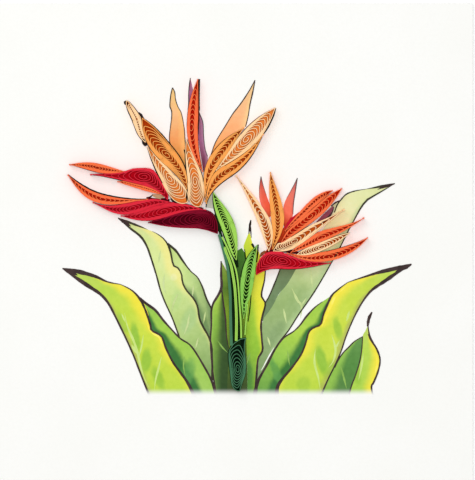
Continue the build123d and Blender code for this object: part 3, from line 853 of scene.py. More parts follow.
def glue_down():
    """Makes the stem's strips, then the coils, each pressed against those that lie there already."""
    laid, grounds = [], {}
    for name, (line, thickness) in strip_shapes.items():
        piece = stem_piece(name + "_paper", line, thickness)
        state(piece, paper_of[name], name)
        piece.data.materials.append(looks[name])
        left, right = both_sides(line, thickness / 2)
        laid.append(left + right[::-1])
    for name, coil in coils.items():
        coil.press_against(laid)
        laid.append(coil.outline())
        coil.lay_out()
        piece = coil_piece(name + "_coil", coil)
        state(piece, paper_of[name], name)
        piece.data.materials.append(looks[name])
        ground = [coil.wall_point(i, ground_reach, ground_inset) for i in range(0, wall_samples, 2)]
        grounds.setdefault(paper_of[name], []).append(ground)
    # The ink under the coils, darkened as painted shade for the wells between their turns
    for group, outlines in grounds.items():
        piece = thin_field(group + "_ground", outlines, card_top + ground_base, ground_depth)
        state(piece, group)
        piece.data.materials.append(ground_ink_and_shade(group + "_ground", *papers[group][3]))


def along(line, count):
    """The line at evenly spaced places along its length."""
    steps = [0.0]
    for a, b in zip(line, line[1:]):
        steps.append(steps[-1] + math.dist(a, b))
    out, i = [], 0
    for k in range(count):
        far = steps[-1] * k / (count - 1)
        while i < len(line) - 2 and steps[i + 1] < far:
            i += 1
        span = steps[i + 1] - steps[i] or 1e-9
        out.append(between(line[i], line[i + 1], clamp((far - steps[i]) / span, 0, 1)))
    return out


class Art:
    """A printed piece of thin sheets and strokes, each with its own ink and a hair above the last."""

    laid = 0

    def __init__(self, name, layer):
        self.name = name
        self.base = card_top + layer_of[layer] * ink_layer
        self.vertices, self.faces, self.inks, self.places, self.looks = [], [], [], [], []

    def sheet(self, look, left, right, rows=sheet_rows, columns=sheet_columns):
        """A thin sheet between two edges, which run from its tip to its foot."""
        self.grid(look, along(smooth(left), rows), along(smooth(right), rows), columns)

    def stroke(self, look, line, widths, rows=stroke_rows):
        """A line whose width changes evenly between the widths given along it."""
        path = along(smooth(line), rows)
        halves = []
        for i in range(rows):
            far = i / (rows - 1) * (len(widths) - 1)
            k = min(int(far), len(widths) - 2)
            width = widths[k] + (widths[k + 1] - widths[k]) * (far - k)
            width *= 1 + line_wobble * wobble(path[i][0] * line_wave, path[i][1] * line_wave, 3.0)
            halves.append(max(thinnest_line, width / 2))
        self.grid(look, offset(path, halves), offset(path, [-h for h in halves]), 1)

    def grid(self, look, left, right, columns):
        """A thin closed sheet of four-sided faces, with its places across and along kept for its ink."""
        if look not in self.looks:
            self.looks.append(look)
        rows, first = len(left), len(self.vertices)
        last = rows - 1
        base = self.base + ink_lift * Art.laid
        Art.laid += 1
        for level in (0, 1):
            for i in range(rows):
                for k in range(columns + 1):
                    x, y = between(left[i], right[i], k / columns)
                    self.vertices.append((x, y, base + level * ink_layer))
                    self.places.append((k / columns, i / last))

        def at(level, i, k):
            return first + (level * rows + i) * (columns + 1) + k

        quads = []
        for i in range(last):
            n = i + 1
            for k in range(columns):
                quads.append((at(1, i, k), at(1, n, k), at(1, n, k + 1), at(1, i, k + 1)))
                quads.append((at(0, i, k), at(0, i, k + 1), at(0, n, k + 1), at(0, n, k)))
            quads.append((at(0, i, 0), at(0, n, 0), at(1, n, 0), at(1, i, 0)))
            quads.append((at(0, i, columns), at(1, i, columns), at(1, n, columns), at(0, n, columns)))
        for k in range(columns):
            quads.append((at(0, 0, k), at(1, 0, k), at(1, 0, k + 1), at(0, 0, k + 1)))
            quads.append((at(0, last, k), at(0, last, k + 1), at(1, last, k + 1), at(1, last, k)))
        self.faces += quads
        self.inks += [self.looks.index(look)] * len(quads)

    def make(self, slot_name, *nodes):
        piece = mesh_object(self.name, self.vertices, self.faces, smooth=False)
        mesh = piece.data
        layer = mesh.uv_layers.new(name="leaf")
        for loop in mesh.loops:
            layer.data[loop.index].uv = self.places[loop.vertex_index]
        for look in self.looks:
            mesh.materials.append(look)
        for polygon, ink in zip(mesh.polygons, self.inks):
            polygon.material_index = ink
        state(piece, slot_name, *nodes)


# The edges of the printed leaves and petals, from tip to foot
far_left_top = [(-54.8, -8.5), (-49, -9.7), (-44.2, -11.1), (-40.4, -12.8), (-36.3, -13.6), (-32.8, -15.4)]
far_left_fold = [
    (-30.2, -18.1), (-28.3, -21.9), (-26.7, -26.7), (-26.4, -28.3), (-24.2, -29.4), (-22.9, -30.7),
    (-21.9, -33.7), (-19.7, -38.2), (-17.2, -41.7), (-14.9, -44.9), (-12.7, leaf_foot),
]
far_left_bottom = [
    (-54.8, -8.5), (-50.6, -11.4), (-45.8, -14.6), (-42.7, -16.7), (-40.1, -19.7), (-37.6, -24.5),
    (-34.7, -30.5), (-32.1, -36.3), (-29.9, -42), (-27, leaf_foot),
]
far_left_back = [
    (-30.2, -18.1), (-27.7, -20), (-25.1, -21.9), (-22.6, -25.1), (-19.7, -28.3), (-17.2, -30.9),
    (-14.6, -32.5), (-12.7, -34.7), (-9.8, -39.5), (-7.3, -44.2), (-5.7, leaf_foot),
]
upper_left_top = [(-37.1, 7.6), (-33.1, 6), (-28.9, 4.4), (-25.1, 2.8), (-22.9, 1.3)]
upper_left_fold = [
    (-21.3, -0.7), (-20.3, -3.4), (-19.7, -6.6), (-19.1, -7.9), (-17.8, -8.5), (-16.8, -10.5), (-16.5, -13),
    (-15.2, -15.6), (-13, -18.1), (-11.7, -20.7), (-11.1, -24.5), (-9.8, -27.4), (-8.2, -30.2),
    (-7.3, -33.1), (-7.1, -37), (-7, -40.6), (-7.1, -44.2),
]
upper_left_bottom = [
    (-37.1, 7.6), (-33.1, 4.2), (-29.9, 1.7), (-28, -1.2), (-26.7, -4.7), (-24.8, -10.8), (-23.5, -15.6),
    (-21.9, -19.7), (-19.7, -24.5), (-17.5, -30.5), (-14.9, -33), (-12.7, -35), (-9.8, -39.6),
    (-7.3, -44.2),
]
upper_left_back = [
    (-21.3, -0.7), (-18.7, -2.8), (-16.5, -6), (-14.9, -8.2), (-13.6, -9.7), (-11.7, -11.4), (-10.1, -14.6),
    (-8.9, -18.1), (-7.3, -21.3),
]
centre_left_edge = [
    (-4.2, -6.2), (-4.2, -10.8), (-4.1, -14.6), (-5.4, -17.5), (-6.6, -19.4), (-7.3, -21.9), (-7.3, -26.7),
    (-7.6, -31.5), (-7.1, -39.5), (-6.5, -44.2), (-5.7, leaf_foot),
]
centre_left_rib = [(-4.1, -14.6), (-3.6, -18.7), (-2.8, -24.5), (-2.5, -29.9), (-1.8, -34)]
centre_right_edge = [
    (9.9, -9.2), (9.6, -12.4), (8.7, -16.2), (8.8, -17.8), (9.9, -19.7), (9, -23.5), (8.5, -26.7),
    (8.8, -31.5), (9, -34.7), (7.6, -37.2), (7.2, -41.1), (6.9, -44.9), (6.4, leaf_foot),
]
centre_right_inner = [
    (4.8, 3.3), (3.6, 0.4), (2.9, -1.8), (3.6, -5), (2.6, -9.2), (2.1, -12.4), (2.6, -18.7), (3.9, -33.1),
    (4.2, leaf_foot),
]
centre_right_top = [(4.8, 3.3), (5.2, 1.7), (5.8, -0.6), (6.4, -2.2), (7.7, -2.8), (8.9, -6.6)]
centre_spike = [(5.3, 6.9), (4.9, 4.8), (4.6, 2.4)]
centre_behind_left = [
    (1, -2.8), (-0.6, -6.6), (-2.5, -9.2), (-4.1, -14.6), (-3.9, -18.7), (-3.4, -24.5), (-3.2, -29.9),
    (-3.2, -34), (-3.2, -40), (-3.2, leaf_foot),
]
centre_behind_right = [(2.4, -2), (3.9, -5.4), (2.6, -10.8), (2.9, -18.7), (3.9, -33.1), (4.2, leaf_foot)]
narrow_left = [(-4.2, -6.2), (-4.15, -10.6), (-4.1, -14.6)]
narrow_right = [(-4.2, -6.2), (-2.8, -8.6), (-1.9, -11), (-1.6, -14.6)]
grey_top = [
    (51.2, 18.6), (46.6, 17.6), (42.1, 16.8), (38.6, 16.2), (35.8, 15.2), (34.2, 13.6), (32.9, 11.9),
    (31.9, 9.3),
]
grey_bottom = [
    (51.2, 18.6), (47.9, 16.6), (44.1, 14.4), (42.1, 13.1), (40.2, 10.6), (38.3, 7.1), (37, 4.8),
    (34.8, 0.4), (33.2, -2.8), (31, -6.6), (28.8, -10.5), (26.2, -14.9), (23.7, -18.7), (20.5, -23.2),
    (17.3, -28.3), (14.7, -31.5), (12.2, -35.3), (9.6, -40.4), (7.1, -45.5),
]
grey_fold = [
    (27.5, 3), (23, -3.5), (19.8, -8.5), (18.2, -11.4), (16.3, -14.3), (14.1, -16.8), (12.5, -20),
    (10.6, -22.9), (9, -25.4), (7.8, -33), (7, -40), (7.1, -45.5),
]
grey_back = [(14.7, -8.5), (13.5, -11.7), (12.2, -14.9), (10.9, -17.8), (9.9, -19.7), (8.8, -25)]
right_top = [
    (56.5, -7.1), (51.4, -8.5), (46, -9.8), (41.8, -11.1), (38.6, -12.1), (36.1, -13), (33.9, -14.6),
    (32.3, -15.9),
]
right_fold = [
    (31, -17.2), (29.7, -20), (28.4, -23.2), (27.5, -26.4), (25.2, -27.4), (23.7, -28.9), (22.7, -32.5),
    (21.1, -36.3), (17.9, -40.7), (15.4, -43.6), (13.8, -46.2), (13.5, leaf_foot),
]
right_bottom = [
    (56.5, -7.1), (52, -9.8), (48.2, -12.4), (44.1, -15.2), (41.8, -17.8), (39.6, -21.3), (37.4, -25.8),
    (35.5, -30.5), (33.9, -35.3), (31.9, -39.8), (30, -43.6), (27.5, leaf_foot),
]
right_back = [
    (31, -17.2), (28.1, -19.1), (25.6, -21), (23, -23.8), (21.1, -26.4), (18.9, -28.6), (16.3, -30.2),
    (14.7, -31.8), (12.8, -34.7), (10.9, -38.5), (9, -41.7), (7.4, -44.9), (6.4, leaf_foot),
]
small_spike = [(43.9, -22.4), (42.9, -24.5), (42.5, -27)]
small_left = [
    (40.9, -30.2), (38.3, -31.8), (36.4, -33.7), (34.8, -35.3), (33.2, -37.6), (31.9, -40.1), (30, -43.6),
    (27.5, leaf_foot),
]
small_fold = [(40.9, -30.2), (40.6, -34.7), (39.9, -38.5), (38.6, -42.7), (37.4, -45.8), (36.4, leaf_foot)]
small_fold_top = [(42.6, -26.7), (41.7, -28.6)]
small_right = [
    (42.6, -26.7), (43.1, -29.9), (44.1, -32.1), (45.3, -34), (46.3, -36.6), (46.4, -38.8), (45.7, -41.7),
    (44.4, -44.9), (43.7, -46.2), (44.2, leaf_foot),
]
peach_top_left = [
    (-19.7, 49.1), (-20.2, 47.1), (-20.5, 44.5), (-20.5, 42.9), (-20, 41.7), (-20, 39.4), (-20.5, 35.6),
    (-20.7, 32.4), (-19.9, 29.9), (-18.3, 26.7), (-16.4, 23),
]
peach_top_right = [
    (-19.7, 49.1), (-19, 47.7), (-18.7, 45.2), (-17.9, 42.9), (-17, 41.3), (-16.4, 38.8), (-15.9, 35.6),
    (-15.7, 32.4), (-15.4, 29.2), (-15.1, 26), (-15.2, 22.4),
]
peach_side_left = [
    (6.6, 51.5), (4.8, 48.2), (2.3, 44.4), (-0.6, 40.6), (-2.8, 37), (-5, 33.5), (-6.3, 31), (-7.4, 27.8),
]
peach_side_right = [
    (6.6, 51.5), (6, 48.2), (5, 43.7), (4.4, 39.9), (3.6, 36.7), (0, 33.5), (-3.5, 30.5), (-6.5, 27),
]
purple_tip_left = [(-14, 52.2), (-14.4, 49.6), (-14.6, 46.8), (-14.6, 44.2), (-14.8, 42)]
purple_tip_right = [(-14, 52.2), (-13.4, 49.6), (-13, 46.8), (-13.8, 44.2), (-14.8, 42)]
purple_side_left = [(-11.6, 42.5), (-11.8, 38), (-11.6, 33.9), (-10.8, 28), (-9.8, 22.1)]
purple_side_right = [
    (-11.6, 42.5), (-11.1, 40.9), (-10, 38), (-9.8, 33.9), (-9.3, 29.7), (-8.5, 27.2), (-8.6, 24.9),
    (-9.8, 22.1),
]
red_left_left = [(8.5, 20.8), (8, 17.3), (8, 13.8), (9, 10.6), (10.6, 7.4)]
red_left_right = [(8.5, 20.8), (9.3, 17.6), (10.3, 14.7), (11.4, 11.5), (11.6, 8)]
red_right_left = [(20.1, 20.3), (18.6, 17.3), (16.6, 13.8), (15.7, 11.2), (15.4, 7.5), (15.8, 5)]
red_right_right = [(20.1, 20.3), (19.5, 16.3), (18.9, 12.2), (18.7, 8.7), (17.9, 6), (16.6, 4)]

# The leaves and the petals that are only printed. Each piece has its layer, its slot, the node that it stands
# for, and its parts: an ink, the pairs of edges that it fills, its colours from tip to foot, bands and spots.
yellow = (243, 228, 72)
lobe_green = (150, 194, 68)
lobe_shade = (96, 156, 80)
olive = (172, 178, 96)
deep = (62, 118, 60)
leaf_prints = [
    ("bright_leaf_print", "bright", "bright_green_print", "printed_bright_leaves", [
        ("far_left_ink", [(far_left_top + far_left_fold, far_left_bottom)],
         [(0, (186, 210, 100)), (0.3, (184, 214, 78)), (0.6, (200, 220, 72)), (1, (186, 214, 74))],
         [(False, [(0, 0), (0.5, 0.1), (1, 0.07)], olive, 0.07, 0.8),
          (True, [(0, 0.02), (0.2, 0.14), (0.33, 0.36), (0.5, 0.3), (0.6, 0.1), (0.72, 0.16), (0.88, -0.1)],
           yellow, 0.2, 0.95)],
         [((135, 336), (4, 14), 12, lobe_green, 1), ((146, 360), (5, 12), -6, lobe_green, 0.9),
          ((158, 378), (5, 12), 24, lobe_green, 0.8), ((122, 322), (3, 12), 24, lobe_green, 0.6)]),
        ("right_ink", [(right_top + right_fold, right_bottom)],
         [(0, (186, 210, 100)), (0.3, (196, 218, 78)), (0.6, (202, 220, 74)), (1, (186, 214, 74))],
         [(False, [(0, 0), (0.4, 0.12), (1, 0.1)], olive, 0.07, 0.8),
          (True, [(0, 0.02), (0.18, 0.14), (0.3, 0.32), (0.5, 0.3), (0.6, 0.12), (0.72, 0.16), (0.88, -0.1)],
           yellow, 0.2, 0.95)],
         [((321, 360), (5, 15), 14, lobe_green, 1), ((337, 328), (4, 11), 12, lobe_green, 0.8),
          ((333, 372), (6, 12), 20, lobe_green, 0.6), ((303, 384), (7, 8), 0, lobe_green, 0.5)]),
        ("small_ink", [(small_right, small_fold_top + small_fold)],
         [(0, (190, 210, 110)), (0.3, (186, 216, 90)), (1, (168, 208, 80))],
         [(True, [(0, 0.1), (0.3, 0.36), (0.6, 0.4), (1, 0.25)], yellow, 0.25, 0.95)],
         [((356, 372), (4, 12), 8, lobe_green, 0.7)]),
        ("centre_left_ink", [(centre_left_edge[2:], centre_left_rib + [(-2, -40), (-2.4, leaf_foot)])],
         [(0, (176, 208, 78)), (0.3, (140, 186, 72)), (1, (80, 114, 66))],
         [(True, [(0, 0.3), (0.3, 0.1), (1, 0)], (170, 206, 100), 0.15, 0.8),
          (False, [(0, 0.3), (0.4, 0.5), (0.6, 0.62), (1, 0.75)], (50, 74, 44), 0.3, 0.9)]),
        ("centre_right_ink", [(centre_right_top + centre_right_edge, centre_right_inner)],
         [(0, (204, 218, 62)), (0.35, (176, 212, 62)), (0.7, (150, 196, 64)), (1, (98, 148, 62))],
         [(True, [(0, 0.1), (0.2, 0.45), (0.45, 0.48), (0.6, 0.2), (0.75, 0), (1, -0.2)],
           (238, 230, 70), 0.25, 0.9)],
         [((247, 376), (5, 18), 0, (84, 140, 66), 0.8)]),
    ]),
    ("dark_leaf_print", "dark", "dark_green_print", "printed_dark_leaves", [
        ("far_left_back_ink", [(far_left_back, far_left_fold)],
         [(0, (140, 190, 80)), (0.3, (160, 204, 80)), (1, (160, 200, 96))],
         [(False, [(0, 0.2), (0.3, 0.36), (0.6, 0.42), (1, 0.4)], deep, 0.16, 1)],
         [((188, 372), (6, 14), -14, lobe_shade, 0.7)]),
        ("right_back_ink", [(right_back, right_fold)],
         [(0, (150, 196, 76)), (0.4, (176, 212, 82)), (0.7, (140, 190, 78)), (1, (104, 156, 72))],
         [(False, [(0, 0.3), (0.3, 0.28), (0.6, 0.36), (1, 0.42)], deep, 0.16, 1)],
         [((276, 372), (4, 16), 24, lobe_shade, 0.8)]),
        ("small_back_ink", [(small_left, small_fold)],
         [(0, (104, 150, 82)), (0.5, (86, 138, 68)), (1, (88, 130, 70))],
         [(True, [(0, 0.1), (0.6, 0.3), (1, 0.4)], (150, 196, 84), 0.2, 0.9)]),
        ("centre_back_ink", [(centre_behind_left, centre_behind_right)],
         [(0, (76, 128, 48)), (0.2, (62, 96, 42)), (0.45, (126, 160, 46)), (0.7, (96, 126, 50)),
          (1, (60, 74, 48))]),
        ("narrow_leaf_ink", [(narrow_left, narrow_right, 16)],
         [(0, (138, 158, 70)), (0.6, (118, 150, 54)), (1, (92, 126, 44))]),
    ]),
    ("pale_leaf_print", "pale", "pale_green_print", "printed_pale_leaves", [
        ("upper_left_ink", [(upper_left_top + upper_left_fold, upper_left_bottom)],
         [(0, (204, 220, 146)), (0.3, (218, 232, 156)), (0.5, (204, 224, 144)), (0.75, (170, 198, 122)),
          (1, (124, 156, 96))],
         [(True, [(0, 0.1), (0.25, 0.42), (0.42, 0.42), (0.55, 0.05), (1, 0)], (240, 233, 144), 0.2, 0.9)],
         [((173, 277), (3, 3), 0, (244, 244, 210), 0.25), ((188, 320), (7, 13), -20, (168, 200, 134), 0.7),
          ((176, 300), (5, 10), -10, (184, 214, 138), 0.6)]),
        ("grey_ink", [(grey_top + grey_fold, grey_bottom)],
         [(0, (216, 222, 160)), (0.25, (232, 234, 178)), (0.45, (206, 220, 160)), (0.62, (160, 186, 122)),
          (1, (126, 154, 106))],
         [(False, [(0, 0), (0.3, 0.2), (1, 0.1)], (178, 204, 146), 0.14, 0.8)],
         [((297, 300), (9, 16), -30, (150, 178, 120), 0.5),
          ((276, 334), (7, 14), -30, (132, 160, 112), 0.5)]),
    ]),
    ("grey_leaf_print", "petals", "grey_green_print", "printed_grey_leaves", [
        ("upper_left_back_ink", [(upper_left_back, upper_left_fold)],
         [(0, (182, 206, 124)), (0.25, (208, 228, 148)), (0.5, (180, 206, 130)), (1, (112, 140, 92))],
         [(False, [(0, 0), (0.3, 0.05), (0.5, 0.4), (1, 0.4)], (106, 136, 88), 0.2, 0.9)]),
        ("grey_back_ink", [(grey_back, grey_fold[2:9])],
         [(0, (108, 126, 88)), (0.5, (112, 136, 98)), (1, (114, 138, 100))]),
    ]),
    ("peach_petal_print", "petals", "peach_print", "printed_peach_petals", [
        ("peach_top_ink", [(peach_top_left, peach_top_right)],
         [(0, (236, 196, 130)), (0.3, (244, 190, 134)), (0.6, (236, 160, 98)), (1, (196, 150, 60))],
         [(False, [(0, 0.3), (0.4, 0.35), (1, 0.3)], (248, 198, 124), 0.25, 0.7)]),
        ("peach_side_ink", [(peach_side_left, peach_side_right)],
         [(0, (240, 206, 150)), (0.3, (245, 188, 138)), (0.6, (248, 180, 128)), (1, (240, 170, 92))],
         [(False, [(0, 0.3), (0.3, 0.3), (0.6, 0.15), (1, 0.3)], (250, 212, 152), 0.25, 0.9)]),
    ]),
    ("red_petal_print", "petals", "red_print", "printed_red_petals", [
        ("red_petal_ink", [(red_left_left, red_left_right)],
         [(0, (150, 80, 90)), (0.25, (214, 96, 82)), (0.7, (230, 98, 70)), (1, (200, 96, 54))],
         [(True, [(0, 0.2), (1, 0.3)], (232, 124, 104), 0.25, 0.8)]),
        ("salmon_petal_ink", [(red_right_left, red_right_right)],
         [(0, (150, 96, 100)), (0.25, (222, 114, 102)), (0.7, (246, 122, 96)), (0.88, (214, 84, 56)),
          (1, (160, 44, 30))],
         [(False, [(0, 0.2), (1, 0.1)], (196, 92, 90), 0.2, 0.7)]),
    ]),
    ("purple_petal_print", "petals", "purple_print", "printed_purple_petals", [
        ("purple_petal_ink", [(purple_tip_left, purple_tip_right), (purple_side_left, purple_side_right)],
         [(0, (146, 96, 116)), (0.5, (156, 100, 140)), (0.8, (124, 72, 100)), (1, (104, 34, 46))],
         [(False, [(0, 0.3), (1, 0.4)], (172, 128, 158), 0.2, 0.7)]),
    ]),
]


def print_leaves():
    for name, layer, slot_name, stands_for, parts in leaf_prints:
        art = Art(name, layer)
        for ink_name, edges, *colours in parts:
            ink = leaf_ink(ink_name, *colours)
            for pair in edges:
                art.sheet(ink, *pair)
        art.make(slot_name, stands_for)


# Bright lines inside three leaves' edges
yellow_lines = [
    ([(-28.8, -19.6), (-27.7, -23), (-27.2, -27.2), (-26, -29), (-24, -30.4), (-23.2, -32.5)],
     [0.05, 0.6, 0.8, 0.7, 0.3]),
    ([(36, -14), (32.4, -17.2), (30.6, -20.8), (29.2, -24), (28, -27)], [0.05, 0.6, 0.8, 0.7, 0.1]),
    ([(45, -35.5), (45.6, -38.5), (44.8, -42.5)], [0.1, 0.8, 0.1]),
]

# The leaves' pale veins, by pixels of the photograph: each group's ink, and each vein's points and width
veins = [
    ("vein_ink", (200, 224, 124), (206, 228, 136), (1.9, 1.6), [
        ([(124, 312), (127, 326), (133, 340), (137, 352), (140, 366), (144, 378), (149, 388)], 0.42),
        ([(143, 334), (141, 346), (138, 358)], 0.3),
        ([(131, 344), (136, 353)], 0.5),
        ([(161, 356), (158, 368), (155, 380), (154, 390)], 0.36),
        ([(121, 313), (125, 322)], 0.3),
        ([(349, 310), (346, 321)], 0.4),
        ([(331, 334), (335, 348), (333, 360), (328, 367)], 0.4),
        ([(315, 348), (314, 362), (318, 378), (320, 391)], 0.4),
        ([(335, 348), (339, 340)], 0.3),
        ([(363, 352), (361, 366), (358, 380)], 0.36),
    ]),
    ("shaded_vein_ink", (146, 186, 92), (132, 174, 84), (1.7, 1.4), [
        ([(184, 356), (183, 366), (185, 376)], 0.3),
        ([(287, 350), (289, 365)], 0.3),
        ([(340, 365), (343, 376), (346, 388)], 0.4),
        ([(217, 340), (222, 347), (227, 352)], 0.3),
        ([(250, 352), (246, 364)], 0.3),
    ]),
    ("pale_vein_ink", (204, 220, 156), (190, 208, 142), (1.9, 1.6), [
        ([(164, 273), (163, 285), (166, 294)], 0.36),
        ([(178, 292), (173, 303), (171, 312)], 0.36),
        ([(189, 313), (187, 325), (183, 335)], 0.36),
        ([(198, 337), (195, 348)], 0.3),
        ([(160, 250), (158, 262)], 0.3),
        ([(193, 284), (192, 296)], 0.3),
        ([(205, 311), (203, 323)], 0.3),
        ([(291, 287), (297, 300), (301, 305), (300, 318)], 0.42),
        ([(301, 305), (306, 297)], 0.3),
        ([(310, 268), (312, 288)], 0.3),
        ([(283, 308), (286, 323)], 0.36),
        ([(267, 336), (270, 346)], 0.3),
    ]),
]
vein_tip = 0.05


def print_veins():
    art = Art("yellow_edge_print", "veins")
    ink = plain_ink("yellow_edge_ink", (252, 240, 110), (250, 228, 60))
    for line, widths in yellow_lines:
        art.stroke(ink, line, widths)
    for name, paint, darker, (upper, lower), lines in veins:
        ink = plain_ink(name, paint, darker)
        for line, width in lines:
            widths = [vein_tip, upper * width, lower * width, vein_tip]
            art.stroke(ink, points(*line), widths, vein_rows)
    art.make("yellow_print", "printed_yellow_edges")


# The outlines, in the order in which they are printed: the line, its widths and its ink
leaf_lines = [
    (far_left_top[:5], [0.3, 1.5, 1.1, 0.6, 0.2], "brown"),
    (far_left_top[4:] + far_left_fold, [0.2, 0.7, 0.7, 0.6, 0.6, 0.8, 1.1], "brown"),
    (far_left_bottom, [0.3, 1.4, 0.8, 0.6, 0.55, 0.55, 0.65], "brown"),
    (far_left_back, [0.9, 0.8, 0.55, 0.5, 0.6, 0.65, 0.9], "brown"),
    (upper_left_top[:3] + [(-27.5, 3.8)], [0.2, 0.8, 0.6, 0.05], "green"),
    ([(-26.2, 3.3)] + upper_left_top[3:] + upper_left_fold,
     [0.1, 0.6, 0.5, 0.5, 0.6, 0.6, 0.7, 0.7], "green"),
    (upper_left_bottom[:10], [0.2, 0.8, 0.6, 0.5, 0.5, 0.45, 0.5], "green"),
    (upper_left_back, [0.8, 0.7, 0.3, 0.55, 0.55], "green"),
    (centre_left_edge, [0.4, 0.9, 0.65, 0.5, 0.5, 0.5, 0.55], "brown"),
    (centre_left_rib, [0.4, 0.5, 0.45, 0.2], "brown"),
    (centre_right_edge, [0.4, 0.55, 0.6, 0.6, 0.6, 0.7], "brown"),
    (centre_spike, [0.3, 0.7, 0.5, 0.2], "black"),
    (grey_top, [0.2, 0.8, 0.1, 0.4, 0.45, 0.4], "green"),
    (grey_bottom, [0.2, 0.6, 0.4, 0.4, 0.4, 0.45, 0.4, 0.35, 0.3], "green"),
    (grey_back, [0.4, 0.45, 0.35, 0.2], "green"),
    (right_top[:6], [0.3, 1.4, 1, 0.5, 0.2], "brown"),
    (right_top[5:] + right_fold, [0.2, 0.7, 0.6, 0.55, 0.55, 0.8, 1.3], "brown"),
    (right_bottom, [0.3, 1.3, 0.6, 0.45, 0.45, 0.45, 0.55], "brown"),
    (points((273.5, 347), (267.5, 357.5), (263, 366), (260.5, 370)), [0.1, 0.4, 0.35, 0.1], "bare"),
    (right_back[1:], [0.2, 0.6, 0.4, 0.5, 0.5, 0.8, 1.4], "brown"),
    (small_spike, [0.3, 1, 0.9, 0.5], "brown"),
]
tip_wedges = [
    ([(62.5, 267.8), (69, 271), (77, 274.6)], [0.3, 1.4, 1.4, 0.2], "brown"),
    ([(118, 218), (124, 221.4), (130.5, 226)], [0.3, 1.2, 0.9, 0.1], "brown"),
    ([(411, 264.2), (403, 267.6), (395, 271.2)], [0.3, 1.3, 1.3, 0.2], "brown"),
    ([(394, 183.4), (386, 185.4), (377, 189)], [0.3, 0.9, 0.7, 0.1], "brown"),
]
petal_lines = [
    (peach_top_left, [0.3, 0.35, 0.25, 0.28, 0.2], "brown"),
    (peach_top_right, [0.3, 0.25, 0.25, 0.35, 0.4], "brown"),
    (peach_side_left, [0.25, 0.35, 0.28, 0.28, 0.28], "brown"),
    (peach_side_right[:5], [0.25, 0.45, 0.3, 0.28], "brown"),
    (purple_tip_left, [0.3, 0.25, 0.2], "brown"),
    (purple_side_right[:6], [0.25, 0.25, 0.2], "brown"),
    (red_left_left[:3], [0.2, 0.16, 0.05], "brown"),
    (red_left_right[:3], [0.2, 0.16, 0.05], "brown"),
    (red_right_left[:3], [0.2, 0.16, 0.05], "brown"),
    (red_right_right[:4], [0.25, 0.25, 0.15], "brown"),
    (small_left[:6], [0.2, 0.4, 0.4, 0.5], "brown"),
    (small_fold, [0.3, 0.4, 0.4, 0.5], "brown"),
    (small_right, [0.3, 0.6, 0.6, 0.5, 0.6, 0.6, 0.4], "brown"),
    (points((367.3, 333.5), (369.8, 338.5), (372, 343)), [0.15, 0.55, 0.2], "brown"),
]
line_inks = {
    "brown": ("brown_line_ink", (74, 58, 58), (56, 44, 44)),
    "green": ("green_line_ink", (68, 64, 50), (52, 50, 40)),
    "black": ("black_line_ink", (34, 28, 26), (20, 16, 16)),
    "bare": ("bare_card_ink", (250, 250, 246), (244, 244, 238)),
}


def in_pixels(lines):
    return [(points(*line), widths, ink) for line, widths, ink in lines]


def print_strokes(art, inks, lines, rows=stroke_rows):
    for line, widths, ink in lines:
        art.stroke(inks[ink], line, widths, rows)


def print_outlines():
    art = Art("outline_print", "lines")
    inks = {name: plain_ink(*values) for name, values in line_inks.items()}
    print_strokes(art, inks, leaf_lines)
    print_strokes(art, inks, in_pixels(tip_wedges), short_rows)
    print_strokes(art, inks, petal_lines)
    art.make("dark_outline_print", "printed_outlines")


# The printed lines and painted shadow beside the coils: the coil, from where to where round it from its tip,
# and the width
rims = {
    "black": [
        ("left_petal_tip", 0.04, 0.5, 0.4), ("left_petal_tip", 0.55, 1, 0.35),
        ("left_petal_upper", 0.5, 1, 0.5), ("left_petal_lower", 0.02, 0.36, 0.45),
        ("centre_petal", 0.06, 0.4, 0.4), ("red_spike_petal", 0.72, 1, 0.55),
        ("right_petal_outer", 0.8, 1, 0.6), ("right_petal_lower", 0.5, 0.96, 0.42),
        ("long_bract_tip", 0.54, 1, 0.6),
    ],
    "brown": [
        ("right_petal_inner", 0.02, 0.5, 0.3), ("red_spike_petal", 0.02, 0.45, 0.22),
        ("red_spike_petal", 0.5, 0.72, 0.3), ("centre_petal", 0.55, 0.98, 0.35),
        ("left_petal_upper", 0.1, 0.5, 0.3), ("right_petal_outer", 0.02, 0.5, 0.35),
        ("right_petal_lower", 0.04, 0.5, 0.4), ("small_fan_petal_3", 0.2, 0.5, 0.25),
        ("small_fan_petal_5", 0.02, 0.98, 0.25), ("small_fan_petal_6", 0.02, 0.5, 0.2),
        ("small_fan_petal_2", 0.5, 0.9, 0.25), ("small_fan_petal_1", 0.5, 0.98, 0.3),
    ],
    "wine": [
        ("upper_bract_petal", 0.02, 0.5, 0.35), ("upper_bract_tip", 0.02, 0.5, 0.2),
        ("long_bract_middle", 0.5, 0.98, 0.35), ("long_bract_lower", 0.5, 0.98, 0.35),
        ("bract_base", 0.5, 0.98, 0.4), ("small_bract", 0.55, 0.98, 0.35), ("small_bract", 0.4, 0.55, 0.3),
    ],
    "crimson": [("bract_base", 0.02, 0.48, 0.3), ("long_bract_lower", 0.02, 0.4, 0.2)],
    "pine": [
        ("upper_bud_leaf", 0.02, 0.5, 0.5), ("lower_bud_leaf", 0.04, 0.46, 0.3),
        ("stem_base_coil", 0.02, 0.98, 0.3),
    ],
}
rim_taper = 0.3
stem_columns = 3

